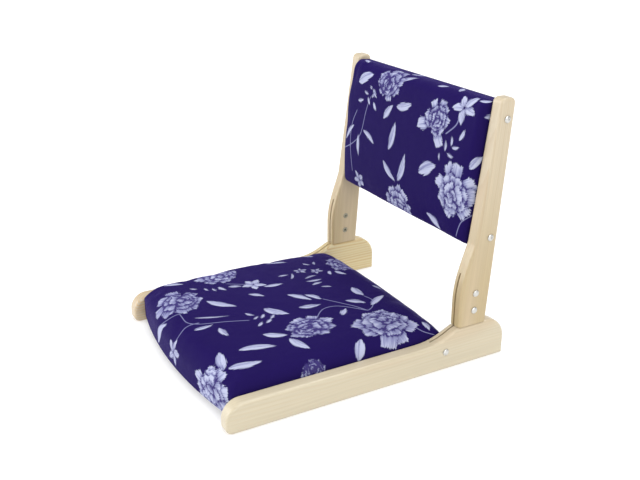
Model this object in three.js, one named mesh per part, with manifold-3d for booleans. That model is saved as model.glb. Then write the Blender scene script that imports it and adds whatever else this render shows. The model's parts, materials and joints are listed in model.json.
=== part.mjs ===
// Folding floor chair: pine side rails and uprights, a padded seat and a padded back that folds over it.
// All sizes are in millimetres. X runs across the chair, Y from front to rear, Z up from the floor.
// Pieces are drawn in a frame whose Y is zero at the rear ends of the rails and negative towards the front.

import * as THREE from 'three';
import { mergeVertices } from 'three/addons/utils/BufferGeometryUtils.js';
import Module from 'manifold-3d';

const wasm = await Module();
wasm.setup();

// Clearances and tool overruns
const fit = 0.3;             // between pieces that touch or hold each other
const overrun = 5;           // how far a cutter runs past the face it cuts
const weldGap = 0.001;       // vertices closer than this are one vertex

// Side rails
const overallWidth = 420;    // over the outer faces of the rails
const railThick = 24;
const railLength = 493;
const railHeight = 47;
const railEdgeRound = 5;
const noseTopRound = 28;
const noseBottomRound = 10;

// Raised heel at the rear of each rail, which the upright stands on
const heelHeight = 68;
const heelRearRound = 38;
const heelFlatEnd = 90;      // forward from the rear end
const heelFootEnd = 165;     // forward from the rear end
const heelShoulderShares = [0.24, 0.81];  // along the slope, and of its height
const heelAnkleShares = [0.4, 0.02];      // along the slope, and of its height

// Uprights, measured forward and up from the rear corner of the foot
const uprightSetIn = 41;     // foot's rear corner, forward of the rail's rear end
const uprightFootDepth = 53;
const uprightSwellRise = 42;
const uprightWaistRise = 137;
const uprightWaistForward = 29;
const uprightTopRise = 359.5;
const uprightLeanBack = 27;  // top's rear corner, behind the foot's
const uprightTopDepth = 27;
const uprightTopRound = 9;
const uprightEdgeRound = 5;
const swellShares = [0.4, 0.66];          // where the swell's curve is pulled, up to the waist
const swellBulgeShares = [0.04, 0.58];    // how far it has drawn in there

// Hinge plate, pivot and slots
const pivotForward = 117;    // forward of the rail's rear end
const pivotHeight = 32;
const plateThick = 2.5;
const plateFromInner = 10;   // middle of the plate from the wood's inner face
const plateEyeRadius = 12;
const plateRearForward = 10; // rear edge, forward of the foot's rear corner
const plateFrontForward = 39;
const plateTopRise = 74;
const plateCornerRound = 6;
const plateRearKneeDrop = 6; // below the heel's top
const plateFrontKneeDrop = 2;
const slotRoom = 0.8;        // around the plate, in its own plane
const kerfHeadroom = 2;      // above the plate
const kerfFrontRise = 92;    // where the saw cut ends on the front edge
const foldAngle = 88;        // degrees from open to folded

// Bolts and sleeve nuts
const boltRadius = 3;
const boltHeadRadius = 5.5;
const boltHeadRise = 2.6;
const boltEndRoom = 1;
const socketWidth = 4;       // across flats
const socketDepth = 3;
const sleeveRadius = 4;
const sleeveLength = 19;
const sleeveWeb = 1.5;       // between socket and thread
const flangeRadius = 5;
const flangeThick = 1.5;
const lowBoltRise = 25;
const lowBoltForward = 25;
const plateBoltPitch = 29;
const plateBoltLean = 1;
const backBoltRise = 144;
const backBoltForward = 3;
const backBoltPitch = 184;
const backBoltLean = 15;
const recessWidth = 3.4;     // drive recess of the back bolts, across flats
const recessDepth = 1.2;
const insertRadius = 5;
const insertLength = 15;

// Cross battens, dowels and screws under the seat
const battenBottom = 12;
const battenThick = 18;
const frontBattenDepth = 39.7; // at its ends
const rearBattenRear = 140;  // forward of the rails' rear ends
const rearBattenDepth = 40;
const dowelRadius = 4;
const dowelInRail = 12;
const dowelInBatten = 24;
const dowelPitch = 18;
const screwHeadRadius = 4;
const screwRadius = 2;
const screwHeadDrop = 2.4;
const screwLength = 24;
const screwPoint = 2;
const screwSink = 0.2;
const screwSpread = 120;
const screwFromRear = 9;     // front row, from the batten's rear edge

// Seat
const coverThick = 1;
const seatBoardThick = 9;
const seatFrontSetback = 16; // front corners, behind the rails' noses
const seatBow = 20;         // how far the middle of the front edge runs past its corners
const seatRear = 103;
const seatFrontWrap = 8;     // foam in front of the board and batten
const seatRimRise = 4.7;     // straight side above the board
const seatShoulderRise = 22; // from the rim to the shoulder
const seatCrownAcross = 5;
const seatCrownAlong = 3;
const seatSideRoll = 18;
const seatFrontRoll = 40;
const seatRearRoll = 24;
const seatFlapTurn = 22.7;   // cloth turned under the front batten, at its ends

// Back pad, measured from the board's middle plane and from the lower back bolts
const backBoardThick = 15;
const padBelow = 16;
const padAbove = 24;
const padRimRise = 2;        // straight side in front of the board
const padShoulderRise = 21.5;
const padCrownAcross = 3;
const padCrownAlong = 7;
const padSideRoll = 20;
const padBottomRoll = 14;
const padTopRoll = 26;
const padTurnIn = 25;        // cloth turned over the rear of the board
const rearPanelThick = 3;
const rearPanelInset = 8;
const rearPanelRound = 1.2;

// How finely curves are divided
const outlineSteps = 5;
const roundSteps = 3;
const boltSides = 12;
const domeSteps = 3;
const rollSteps = 4;
const seatAcrossSteps = 6;
const seatAlongSteps = 7;
const padAcrossSteps = 6;
const padAlongSteps = 5;
const bowSteps = 12;

// Sizes that follow from the ones above
const railInner = overallWidth / 2 - railThick;
const railMiddle = overallWidth / 2 - railThick / 2;
const plateMiddle = railInner + plateFromInner;
const seatFrontEnd = railLength - seatFrontSetback;
const seatReach = seatFrontEnd + seatBow;
const battenTop = battenBottom + battenThick;
const seatBoardBottom = battenTop + fit;
const seatBoardTop = seatBoardBottom + seatBoardThick;
const clothHalfWidth = railInner - fit;
const boardHalfWidth = clothHalfWidth - coverThick - fit;
const battenFrontEnd = seatFrontEnd - coverThick - fit - seatFrontWrap;
const frontBattenRear = battenFrontEnd - frontBattenDepth;
const uprightFootHeight = heelHeight + fit;
const pivot = new THREE.Vector2(-pivotForward, pivotHeight);

// A point of the upright, from how far it lies forward of and above the foot's rear corner
function onUpright(forward, rise) {
  return new THREE.Vector2(-uprightSetIn - forward, uprightFootHeight + rise);
}

const plateBolts = [
  onUpright(lowBoltForward, lowBoltRise),
  onUpright(lowBoltForward - plateBoltLean, lowBoltRise + plateBoltPitch),
];
const backBolts = [
  onUpright(backBoltForward, backBoltRise),
  onUpright(backBoltForward - backBoltLean, backBoltRise + backBoltPitch),
];

// Solids

// One closed set of triangles with shared vertices, without flat triangles
function weld(geometry) {
  const bare = geometry.clone();
  bare.deleteAttribute('normal');
  bare.deleteAttribute('uv');
  const welded = mergeVertices(bare, weldGap);
  const corners = [];
  for (let t = 0; t < welded.index.count; t += 3) {
    const [a, b, c] = [0, 1, 2].map((k) => welded.index.getX(t + k));
    if (a !== b && b !== c && c !== a) {
      corners.push(a, b, c);
    }
  }
  welded.setIndex(corners);
  return welded;
}

function solidOf(geometry) {
  const welded = weld(geometry);
  return new wasm.Manifold(new wasm.Mesh({
    numProp: 3,
    vertProperties: new Float32Array(welded.attributes.position.array),
    triVerts: new Uint32Array(welded.index.array),
  }));
}

// The first geometry with all the others taken away from it
function cut(base, cutters) {
  const rest = cutters.reduce((left, cutter) => left.subtract(solidOf(cutter)), solidOf(base));
  const mesh = rest.getMesh();
  const geometry = new THREE.BufferGeometry();
  geometry.setAttribute('position', new THREE.BufferAttribute(mesh.vertProperties, 3));
  geometry.setIndex(new THREE.BufferAttribute(mesh.triVerts, 1));
  return geometry;
}

// A box between two opposite corners
function block(low, high) {
  const size = high.clone().sub(low);
  const geometry = new THREE.BoxGeometry(size.x, size.y, size.z);
  geometry.translate(...low.clone().add(high).divideScalar(2).toArray());
  return geometry;
}

// A plate whose side outline is drawn in Y and Z, standing across X about the given middle
function sidePlate(outline, middle, thick, edgeRound) {
  const geometry = new THREE.ExtrudeGeometry(outline, {
    depth: thick - 2 * edgeRound,
    bevelEnabled: edgeRound > 0,
    bevelThickness: edgeRound,
    bevelSize: edgeRound,
    bevelOffset: -edgeRound,
    bevelSegments: roundSteps,
    curveSegments: outlineSteps,
  });
  geometry.translate(0, 0, edgeRound - thick / 2);
  geometry.applyMatrix4(new THREE.Matrix4().makeBasis(
    new THREE.Vector3(0, 1, 0),
    new THREE.Vector3(0, 0, 1),
    new THREE.Vector3(1, 0, 0),
  ));
  geometry.translate(middle, 0, 0);
  return geometry;
}

// A flat board whose plan is drawn in X and Y
function flatBoard(plan, bottom, thick, edgeRound = 0) {
  const geometry = new THREE.ExtrudeGeometry(plan, {
    depth: thick - 2 * edgeRound,
    bevelEnabled: edgeRound > 0,
    bevelThickness: edgeRound,
    bevelSize: edgeRound,
    bevelOffset: -edgeRound,
    bevelSegments: roundSteps,
    curveSegments: outlineSteps,
  });
  geometry.translate(0, 0, bottom + edgeRound);
  return geometry;
}

// A turned piece on the X axis: the profile gives radius and distance, and the distance runs towards the side
function turned(profile, side, sides = boltSides) {
  const geometry = new THREE.LatheGeometry(profile.map(([r, s]) => new THREE.Vector2(r, s)), sides);
  geometry.rotateZ(-side * Math.PI / 2);
  return geometry;
}

// A round bar along X between two distances from the middle of the chair, on the given side
function bar(radius, from, to, side, place, sides = boltSides) {
  const geometry = new THREE.CylinderGeometry(radius, radius, to - from, sides);
  geometry.rotateZ(-side * Math.PI / 2);
  geometry.translate(side * (from + to) / 2, place.x, place.y);
  return geometry;
}

// A six-sided bar, given by its width across flats
function hexBar(width, from, to, side, place) {
  return bar(width / Math.sqrt(3), from, to, side, place, 6);
}

// Side rails

function railOutline() {
  const slope = heelFootEnd - heelFlatEnd;
  const fall = heelHeight - railHeight;
  const outline = new THREE.Shape();
  outline.moveTo(0, 0);
  outline.lineTo(0, heelHeight - heelRearRound);
  outline.absarc(-heelRearRound, heelHeight - heelRearRound, heelRearRound, 0, Math.PI / 2);
  outline.lineTo(-heelFlatEnd, heelHeight);
  outline.bezierCurveTo(
    -heelFlatEnd - slope * heelShoulderShares[0], railHeight + fall * heelShoulderShares[1],
    -heelFlatEnd - slope * heelAnkleShares[0], railHeight + fall * heelAnkleShares[1],
    -heelFootEnd, railHeight,
  );
  outline.absarc(-railLength + noseTopRound, railHeight - noseTopRound, noseTopRound, Math.PI / 2, Math.PI);
  outline.absarc(-railLength + noseBottomRound, noseBottomRound, noseBottomRound, Math.PI, Math.PI * 3 / 2);
  outline.closePath();
  return outline;
}

// The hinge plate's knees, seen from the pivot
const rearKnee = onUpright(plateRearForward, -plateRearKneeDrop - fit).sub(pivot);
const frontKnee = onUpright(plateFrontForward, -plateFrontKneeDrop - fit).sub(pivot);

// Where the straight edge from a knee meets the round eye, as an angle about the pivot
function tangentAngle(knee, turn) {
  return knee.angle() + turn * Math.acos(plateEyeRadius / knee.length());
}
const rearTangent = tangentAngle(rearKnee, -1);
const frontTangent = tangentAngle(frontKnee, 1);

function aroundPivot(radius, angle) {
  return new THREE.Vector2(Math.cos(angle), Math.sin(angle)).multiplyScalar(radius).add(pivot);
}

function plateOutline() {
  const top = uprightFootHeight + plateTopRise;
  const rear = pivot.x + rearKnee.x;
  const front = pivot.x + frontKnee.x;
  const outline = new THREE.Shape();
  outline.moveTo(...aroundPivot(plateEyeRadius, rearTangent).toArray());
  outline.lineTo(rear, pivot.y + rearKnee.y);
  outline.absarc(rear - plateCornerRound, top - plateCornerRound, plateCornerRound, 0, Math.PI / 2);
  outline.absarc(front + plateCornerRound, top - plateCornerRound, plateCornerRound, Math.PI / 2, Math.PI);
  outline.lineTo(front, pivot.y + frontKnee.y);
  outline.absarc(pivot.x, pivot.y, plateEyeRadius, frontTangent, rearTangent + Math.PI * 2);
  return outline;
}

// The slot that lets the plate swing from open to folded: a cone round the pivot, open at the top
function slotOutline() {
  const radius = plateEyeRadius + slotRoom;
  const foldedTangent = frontTangent + THREE.MathUtils.degToRad(foldAngle);
  const rearStart = aroundPivot(radius, rearTangent);
  const frontStart = aroundPivot(radius, foldedTangent);
  const rearWall = pivot.x + rearKnee.x + slotRoom;
  const rearRun = (rearWall - rearStart.x) / -Math.sin(rearTangent);
  const top = heelHeight + overrun;
  const frontRun = (top - frontStart.y) / -Math.cos(foldedTangent);
  const outline = new THREE.Shape();
  outline.moveTo(rearStart.x, rearStart.y);
  outline.lineTo(rearWall, rearStart.y + rearRun * Math.cos(rearTangent));
  outline.lineTo(rearWall, top);
  outline.lineTo(frontStart.x + frontRun * Math.sin(foldedTangent), top);
  outline.lineTo(frontStart.x, frontStart.y);
  outline.absarc(pivot.x, pivot.y, radius, foldedTangent, rearTangent + Math.PI * 2);
  return outline;
}

const frontDowels = dowelPlaces(frontBattenRear + frontBattenDepth / 2);
const rearDowels = dowelPlaces(rearBattenRear + rearBattenDepth / 2);

function dowelPlaces(middle) {
  return [-1, 1].map((end) => new THREE.Vector2(
    -middle + end * dowelPitch / 2,
    battenBottom + battenThick / 2,
  ));
}

// The holes for a sleeve nut: a clear bore and a shallow seat for its flange
function sleeveHoles(side, place) {
  const outer = overallWidth / 2 + overrun;
  return [
    bar(sleeveRadius + fit, railInner - overrun, outer, side, place),
    bar(flangeRadius + fit, railInner - overrun, railInner + flangeThick + fit, side, place),
  ];
}

function rail(side) {
  const slotWidth = plateThick + 2 * fit;
  const dowelHoles = [...frontDowels, ...rearDowels].map((place) => (
    bar(dowelRadius + fit, railInner - overrun, railInner + dowelInRail + fit, side, place)
  ));
  return cut(sidePlate(railOutline(), side * railMiddle, railThick, railEdgeRound), [
    sidePlate(slotOutline(), side * plateMiddle, slotWidth, 0),
    ...sleeveHoles(side, pivot),
    ...dowelHoles,
  ]);
}

// Uprights

function uprightOutline() {
  const swellSpan = uprightWaistRise - uprightSwellRise;
  const drawIn = uprightFootDepth - uprightWaistForward;
  const topFront = uprightTopDepth - uprightLeanBack;
  const rearTop = onUpright(-uprightLeanBack, uprightTopRise);
  const frontTop = onUpright(topFront, uprightTopRise);
  const outline = new THREE.Shape();
  const points = {
    rearFoot: onUpright(0, -overrun),
    frontFoot: onUpright(uprightFootDepth, -overrun),
    swell: onUpright(uprightFootDepth, uprightSwellRise),
    pullLow: onUpright(
      uprightFootDepth - drawIn * swellBulgeShares[0],
      uprightSwellRise + swellSpan * swellShares[0],
    ),
    pullHigh: onUpright(
      uprightFootDepth - drawIn * swellBulgeShares[1],
      uprightSwellRise + swellSpan * swellShares[1],
    ),
    waist: onUpright(uprightWaistForward, uprightWaistRise),
  };
  outline.moveTo(points.rearFoot.x, points.rearFoot.y);
  outline.lineTo(rearTop.x, rearTop.y - uprightTopRound);
  outline.absarc(
    rearTop.x - uprightTopRound, rearTop.y - uprightTopRound, uprightTopRound, 0, Math.PI / 2,
  );
  outline.absarc(
    frontTop.x + uprightTopRound, frontTop.y - uprightTopRound, uprightTopRound, Math.PI / 2, Math.PI,
  );
  outline.lineTo(points.waist.x, points.waist.y);
  outline.bezierCurveTo(
    points.pullHigh.x, points.pullHigh.y, points.pullLow.x, points.pullLow.y,
    points.swell.x, points.swell.y,
  );
  outline.lineTo(points.frontFoot.x, points.frontFoot.y);
  outline.closePath();
  return outline;
}

// The saw cut in the foot, open at the front and below, that holds the hinge plate
function kerfOutline() {
  const rear = plateRearForward - slotRoom;
  const front = uprightFootDepth + overrun;
  return new THREE.Shape([
    onUpright(front, -overrun - overrun),
    onUpright(rear, -overrun - overrun),
    onUpright(rear, plateTopRise + kerfHeadroom),
    onUpright(front, kerfFrontRise),
  ]);
}

function upright(side) {
  const foot = onUpright(0, 0);
  const inner = side * railInner;
  const outer = side * overallWidth / 2;
  const squareCut = block(
    new THREE.Vector3(
      Math.min(inner, outer) - overrun,
      foot.x - uprightFootDepth - overrun,
      foot.y - 2 * overrun,
    ),
    new THREE.Vector3(Math.max(inner, outer) + overrun, foot.x + overrun, foot.y),
  );
  const backHoles = backBolts.map((place) => (
    bar(boltRadius + fit, railInner - overrun, overallWidth / 2 + overrun, side, place)
  ));
  return cut(sidePlate(uprightOutline(), side * railMiddle, railThick, uprightEdgeRound), [
    squareCut,
    sidePlate(kerfOutline(), side * plateMiddle, plateThick + 2 * fit, 0),
    ...plateBolts.flatMap((place) => sleeveHoles(side, place)),
    ...backHoles,
  ]);
}

function hingePlate(side) {
  const holes = [pivot, ...plateBolts].map((place) => (
    bar(sleeveRadius + fit, plateMiddle - plateThick, plateMiddle + plateThick, side, place)
  ));
  return cut(sidePlate(plateOutline(), side * plateMiddle, plateThick, 0), holes);
}

// Fasteners

// A domed head and its shank, seated on the wood's outer face
function domedBolt(side, place, shankLength) {
  const dome = [];
  for (let k = 0; k <= domeSteps; k += 1) {
    const angle = (k / domeSteps) * Math.PI / 2;
    dome.push([boltHeadRadius * Math.cos(angle), boltHeadRise * Math.sin(angle)]);
  }
  const geometry = turned([[0, -shankLength], [boltRadius, -shankLength], [boltRadius, 0], ...dome], side);
  geometry.translate(side * (overallWidth / 2 + fit), place.x, place.y);
  return geometry;
}

function sleevedBolt(side, place) {
  return weld(domedBolt(side, place, railThick + fit - socketDepth - sleeveWeb - boltEndRoom));
}

// The sleeve nut: flange flush with the inner face, socket in the flange, thread from the far end
function sleeveNut(side, place) {
  const boreEnd = socketDepth + sleeveWeb;
  const body = turned([
    [0, 0],
    [flangeRadius, 0],
    [flangeRadius, flangeThick],
    [sleeveRadius, flangeThick],
    [sleeveRadius, sleeveLength],
    [boltRadius + fit, sleeveLength],
    [boltRadius + fit, boreEnd],
    [0, boreEnd],
  ], side);
  body.translate(side * railInner, place.x, place.y);
  return cut(body, [hexBar(socketWidth, railInner - overrun, railInner + socketDepth, side, place)]);
}

// The back bolts reach through the upright into the inserts and have a small six-sided recess
function backBolt(side, place) {
  const shankLength = overallWidth / 2 + fit - (boardHalfWidth - insertLength + boltEndRoom);
  const top = overallWidth / 2 + fit + boltHeadRise;
  return cut(domedBolt(side, place, shankLength), [
    hexBar(recessWidth, top - recessDepth, top + overrun, side, place),
  ]);
}

function threadedInsert(side) {
  const profile = [
    [boltRadius + fit, 0],
    [insertRadius, 0],
    [insertRadius, insertLength],
    [boltRadius + fit, insertLength],
    [boltRadius + fit, 0],
  ];
  const geometry = turned(profile, side);
  geometry.translate(side * (boardHalfWidth - fit - insertLength), 0, 0);
  return weld(geometry);
}

function dowel(side, place) {
  return weld(bar(dowelRadius, railInner - dowelInBatten, railInner + dowelInRail, side, place));
}

// A countersunk screw that points up; a clearance makes it the cutter of its own hole
function screw(room, start) {
  const profile = [
    [0, -start],
    [screwHeadRadius + room, -start],
    [screwHeadRadius + room, 0],
    [screwRadius + room, screwHeadDrop],
    [screwRadius + room, screwLength - screwPoint + room],
    [0, screwLength + room],
  ];
  const geometry = new THREE.LatheGeometry(profile.map(([r, s]) => new THREE.Vector2(r, s)), boltSides);
  geometry.rotateX(Math.PI / 2);
  return geometry;
}

const screwHeight = battenBottom + screwSink;
const screwRows = [frontBattenRear + screwFromRear, rearBattenRear + rearBattenDepth / 2];
const screwPlaces = screwRows.flatMap((forward) => (
  [-screwSpread, 0, screwSpread].map((x) => new THREE.Vector3(x, -forward, screwHeight))
));

function screwHoles(places) {
  return places.map((place) => {
    const cutter = screw(fit, overrun);
    cutter.translate(place.x, place.y, place.z);
    return cutter;
  });
}

// Battens and boards

// How far forward the front edge of what lies under the cloth and its foam runs at x
function seatFrontLine(x) {
  return battenFrontEnd + seatBow * (1 - (x / clothHalfWidth) ** 2);
}

// A plan with a bowed front edge and a straight rear edge
function bowedPlan(halfWidth, rear, grow = 0) {
  const plan = new THREE.Shape();
  plan.moveTo(halfWidth, -rear);
  plan.lineTo(-halfWidth, -rear);
  for (let k = 0; k <= bowSteps; k += 1) {
    const x = -halfWidth + (2 * halfWidth * k) / bowSteps;
    plan.lineTo(x, -seatFrontLine(x) - grow);
  }
  plan.closePath();
  return plan;
}

function battenCuts(dowels) {
  const sides = [-1, 1].flatMap((side) => dowels.map((place) => (
    bar(dowelRadius + fit, railInner - dowelInBatten - fit, railInner + overrun, side, place)
  )));
  return [...sides, ...screwHoles(screwPlaces)];
}

function frontBatten() {
  const plan = bowedPlan(railInner - fit, frontBattenRear);
  return cut(flatBoard(plan, battenBottom, battenThick), battenCuts(frontDowels));
}

function rearBatten() {
  const body = block(
    new THREE.Vector3(-railInner + fit, -rearBattenRear - rearBattenDepth, battenBottom),
    new THREE.Vector3(railInner - fit, -rearBattenRear, battenTop),
  );
  return cut(body, battenCuts(rearDowels));
}

function seatBoard() {
  const plan = bowedPlan(boardHalfWidth, seatRear + coverThick + fit);
  return cut(flatBoard(plan, seatBoardBottom, seatBoardThick), screwHoles(screwPlaces));
}

// Padded forms

// Stations along a padded side: close together where the edges roll over, even between
function stations(span, startRoll, endRoll, middleSteps) {
  const list = [];
  for (let k = 0; k <= rollSteps; k += 1) {
    const angle = (k / rollSteps) * Math.PI / 2;
    list.push({ share: startRoll * (1 - Math.cos(angle)) / span, lift: Math.sin(angle) });
  }
  for (let k = 1; k < middleSteps; k += 1) {
    list.push({ share: THREE.MathUtils.lerp(startRoll, span - endRoll, k / middleSteps) / span, lift: 1 });
  }
  for (let k = rollSteps; k >= 0; k -= 1) {
    const angle = (k / rollSteps) * Math.PI / 2;
    list.push({ share: 1 - endRoll * (1 - Math.cos(angle)) / span, lift: Math.sin(angle) });
  }
  return list;
}

// A crowned pad: straight sides up to the rim, edges that roll over to the shoulder, and a crown between.
// The inset draws the same form in all round, which gives the inside of a cover and the foam in it.
function paddedForm(pad, inset, floor) {
  const across = stations(2 * pad.halfWidth, pad.sideRoll, pad.sideRoll, pad.acrossSteps);
  const along = stations(pad.end - pad.startAt(0), pad.startRoll, pad.endRoll, pad.alongSteps);
  const halfWidth = pad.halfWidth - inset;
  const points = [];
  along.forEach((row) => {
    across.forEach((column) => {
      const u = 2 * column.share - 1;
      const v = 2 * row.share - 1;
      const start = pad.startAt(u) + inset;
      const crown = pad.crownAcross * (1 - u * u) + pad.crownAlong * (1 - v * v);
      const rise = (pad.shoulderRise + crown) * column.lift * row.lift;
      points.push([
        u * halfWidth,
        THREE.MathUtils.lerp(start, pad.end - inset, row.share),
        pad.rim + rise - inset,
      ]);
    });
  });
  const columns = across.length;
  const rows = along.length;
  const at = (i, j) => j * columns + i;
  const corners = [];
  for (let j = 0; j + 1 < rows; j += 1) {
    for (let i = 0; i + 1 < columns; i += 1) {
      corners.push(at(i, j), at(i + 1, j), at(i + 1, j + 1));
      corners.push(at(i, j), at(i + 1, j + 1), at(i, j + 1));
    }
  }
  const rim = [];
  for (let i = 0; i + 1 < columns; i += 1) rim.push(at(i, 0));
  for (let j = 0; j + 1 < rows; j += 1) rim.push(at(columns - 1, j));
  for (let i = columns - 1; i > 0; i -= 1) rim.push(at(i, rows - 1));
  for (let j = rows - 1; j > 0; j -= 1) rim.push(at(0, j));
  const hem = points.length;
  rim.forEach((k) => points.push([points[k][0], points[k][1], floor]));
  const middle = points.length;
  points.push([0, (pad.startAt(0) + pad.end) / 2, floor]);
  rim.forEach((top, k) => {
    const next = (k + 1) % rim.length;
    corners.push(top, hem + k, hem + next, top, hem + next, rim[next]);
    corners.push(middle, hem + next, hem + k);
  });
  const geometry = new THREE.BufferGeometry();
  geometry.setAttribute('position', new THREE.Float32BufferAttribute(points.flat(), 3));
  geometry.setIndex(corners);
  return geometry;
}

const seatPad = {
  halfWidth: clothHalfWidth,
  startAt: (u) => -seatFrontEnd - seatBow * (1 - u * u),
  end: -seatRear,
  rim: seatBoardTop + seatRimRise,
  shoulderRise: seatShoulderRise,
  crownAcross: seatCrownAcross,
  crownAlong: seatCrownAlong,
  sideRoll: seatSideRoll,
  startRoll: seatFrontRoll,
  endRoll: seatRearRoll,
  acrossSteps: seatAcrossSteps,
  alongSteps: seatAlongSteps,
};

// The seat's cloth: over the pad, down its edges, and turned under the front batten
function seatCover() {
  const underside = battenBottom - fit;
  const hem = battenTop + 2 * fit;
  const wide = clothHalfWidth + overrun;
  const rear = -seatRear + overrun;
  const flapEnd = -battenFrontEnd + seatFlapTurn;
  const wrapEnd = -battenFrontEnd - 2 * fit;
  return cut(paddedForm(seatPad, 0, underside - coverThick), [
    paddedForm(seatPad, coverThick, underside),
    block(
      new THREE.Vector3(-wide, flapEnd, underside - coverThick - overrun),
      new THREE.Vector3(wide, rear, hem),
    ),
    block(
      new THREE.Vector3(-wide, wrapEnd, underside),
      new THREE.Vector3(wide, flapEnd + overrun, hem),
    ),
  ]);
}

// The seat's foam: on the board, with a lip down the front of the board and batten
function seatFoam() {
  const plan = bowedPlan(clothHalfWidth + overrun, seatRear - overrun, fit);
  return cut(paddedForm(seatPad, coverThick + fit, battenBottom), [
    flatBoard(plan, battenBottom - overrun, seatBoardTop + fit - battenBottom + overrun),
  ]);
}

// Back pad, drawn lying down: Y runs up the board from the lower bolts, Z out of its front
const boardSpan = backBolts[1].distanceTo(backBolts[0]);
const boardLean = Math.atan2(backBolts[1].x - backBolts[0].x, backBolts[1].y - backBolts[0].y);
const padTop = boardSpan + padAbove;
const boardFace = backBoardThick / 2;
const clothBack = -boardFace - fit - coverThick;

const backPad = {
  halfWidth: clothHalfWidth,
  startAt: () => -padBelow,
  end: padTop,
  rim: boardFace + padRimRise,
  shoulderRise: padShoulderRise,
  crownAcross: padCrownAcross,
  crownAlong: padCrownAlong,
  sideRoll: padSideRoll,
  startRoll: padBottomRoll,
  endRoll: padTopRoll,
  acrossSteps: padAcrossSteps,
  alongSteps: padAlongSteps,
};
const boardBolts = [new THREE.Vector2(0, 0), new THREE.Vector2(boardSpan, 0)];

// Holes through both edges of the pad, from the given distance to past the cloth
function edgeHoles(radius, from) {
  return [-1, 1].flatMap((side) => boardBolts.map((place) => (
    bar(radius, from, clothHalfWidth + overrun, side, place)
  )));
}

function backBoard() {
  const inset = coverThick + fit;
  const body = block(
    new THREE.Vector3(-boardHalfWidth, -padBelow + inset, -boardFace),
    new THREE.Vector3(boardHalfWidth, padTop - inset, boardFace),
  );
  return cut(body, edgeHoles(insertRadius + fit, boardHalfWidth - insertLength - 2 * fit));
}

function backFoam() {
  return weld(paddedForm(backPad, coverThick + fit, boardFace + fit));
}

function backCover() {
  const opening = block(
    new THREE.Vector3(-clothHalfWidth + padTurnIn, -padBelow + padTurnIn, clothBack - overrun),
    new THREE.Vector3(clothHalfWidth - padTurnIn, padTop - padTurnIn, 0),
  );
  return cut(paddedForm(backPad, 0, clothBack), [
    paddedForm(backPad, coverThick, clothBack + coverThick),
    opening,
    ...edgeHoles(boltRadius + coverThick, boardHalfWidth),
  ]);
}

function backRearPanel() {
  const halfWidth = clothHalfWidth - rearPanelInset;
  const plan = new THREE.Shape([
    new THREE.Vector2(-halfWidth, -padBelow + rearPanelInset),
    new THREE.Vector2(halfWidth, -padBelow + rearPanelInset),
    new THREE.Vector2(halfWidth, padTop - rearPanelInset),
    new THREE.Vector2(-halfWidth, padTop - rearPanelInset),
  ]);
  return weld(flatBoard(plan, clothBack - fit - rearPanelThick, rearPanelThick, rearPanelRound));
}

// Finishes

const pine = () => new THREE.MeshStandardMaterial({ color: 0xdfcfa9, roughness: 0.45, metalness: 0 });
const beech = () => new THREE.MeshStandardMaterial({ color: 0xcdb083, roughness: 0.7, metalness: 0 });
const plywood = () => new THREE.MeshStandardMaterial({ color: 0xc9a877, roughness: 0.75, metalness: 0 });
const zinc = () => new THREE.MeshStandardMaterial({ color: 0xc9cccd, roughness: 0.3, metalness: 1 });
const plateSteel = () => new THREE.MeshStandardMaterial({ color: 0x8e9193, roughness: 0.45, metalness: 1 });
const printedCloth = () => new THREE.MeshStandardMaterial({ color: 0x2c2060, roughness: 0.8, metalness: 0 });
const foam = () => new THREE.MeshStandardMaterial({ color: 0xe6dfc4, roughness: 0.95, metalness: 0 });

// Assembly

const chair = new THREE.Group();
const seatFrame = new THREE.Group();
const back = new THREE.Group();
const backPadFrame = new THREE.Group();

function add(parent, name, geometry, material) {
  geometry.computeVertexNormals();
  const mesh = new THREE.Mesh(geometry, material);
  mesh.name = name;
  parent.add(mesh);
  return mesh;
}

const sides = [['left', 1], ['right', -1]];
const levels = ['lower', 'upper'];

sides.forEach(([hand, side]) => {
  add(seatFrame, `${hand}_rail`, rail(side), pine());
  add(seatFrame, `${hand}_pivot_bolt`, sleevedBolt(side, pivot), zinc());
  add(seatFrame, `${hand}_pivot_sleeve`, sleeveNut(side, pivot), zinc());
  frontDowels.forEach((place, k) => {
    add(seatFrame, `${hand}_front_dowel_${k + 1}`, dowel(side, place), beech());
  });
  rearDowels.forEach((place, k) => {
    add(seatFrame, `${hand}_rear_dowel_${k + 1}`, dowel(side, place), beech());
  });
});
add(seatFrame, 'front_batten', frontBatten(), pine());
add(seatFrame, 'rear_batten', rearBatten(), pine());
add(seatFrame, 'seat_board', seatBoard(), plywood());
screwPlaces.forEach((place, k) => {
  const mesh = add(seatFrame, `seat_screw_${k + 1}`, weld(screw(0, 0)), zinc());
  mesh.position.copy(place);
});
add(seatFrame, 'seat_foam', seatFoam(), foam());
add(seatFrame, 'seat_cover', seatCover(), printedCloth());

sides.forEach(([hand, side]) => {
  add(back, `${hand}_upright`, upright(side), pine());
  add(back, `${hand}_hinge_plate`, hingePlate(side), plateSteel());
  levels.forEach((level, k) => {
    add(back, `${hand}_${level}_plate_bolt`, sleevedBolt(side, plateBolts[k]), zinc());
    add(back, `${hand}_${level}_plate_sleeve`, sleeveNut(side, plateBolts[k]), zinc());
    add(back, `${hand}_${level}_back_bolt`, backBolt(side, backBolts[k]), zinc());
    const insert = add(backPadFrame, `${hand}_${level}_insert`, threadedInsert(side), zinc());
    insert.position.y = boardBolts[k].x;
  });
});
add(backPadFrame, 'back_board', backBoard(), plywood());
add(backPadFrame, 'back_foam', backFoam(), foam());
add(backPadFrame, 'back_cover', backCover(), printedCloth());
add(backPadFrame, 'back_rear_panel', backRearPanel(), printedCloth());
backPadFrame.position.set(0, backBolts[0].x, backBolts[0].y);
backPadFrame.rotation.x = Math.PI / 2 - boardLean;
back.add(backPadFrame);

chair.add(seatFrame, back);
chair.position.y = seatReach / 2;

const model = new THREE.Group();
model.add(chair);

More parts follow.
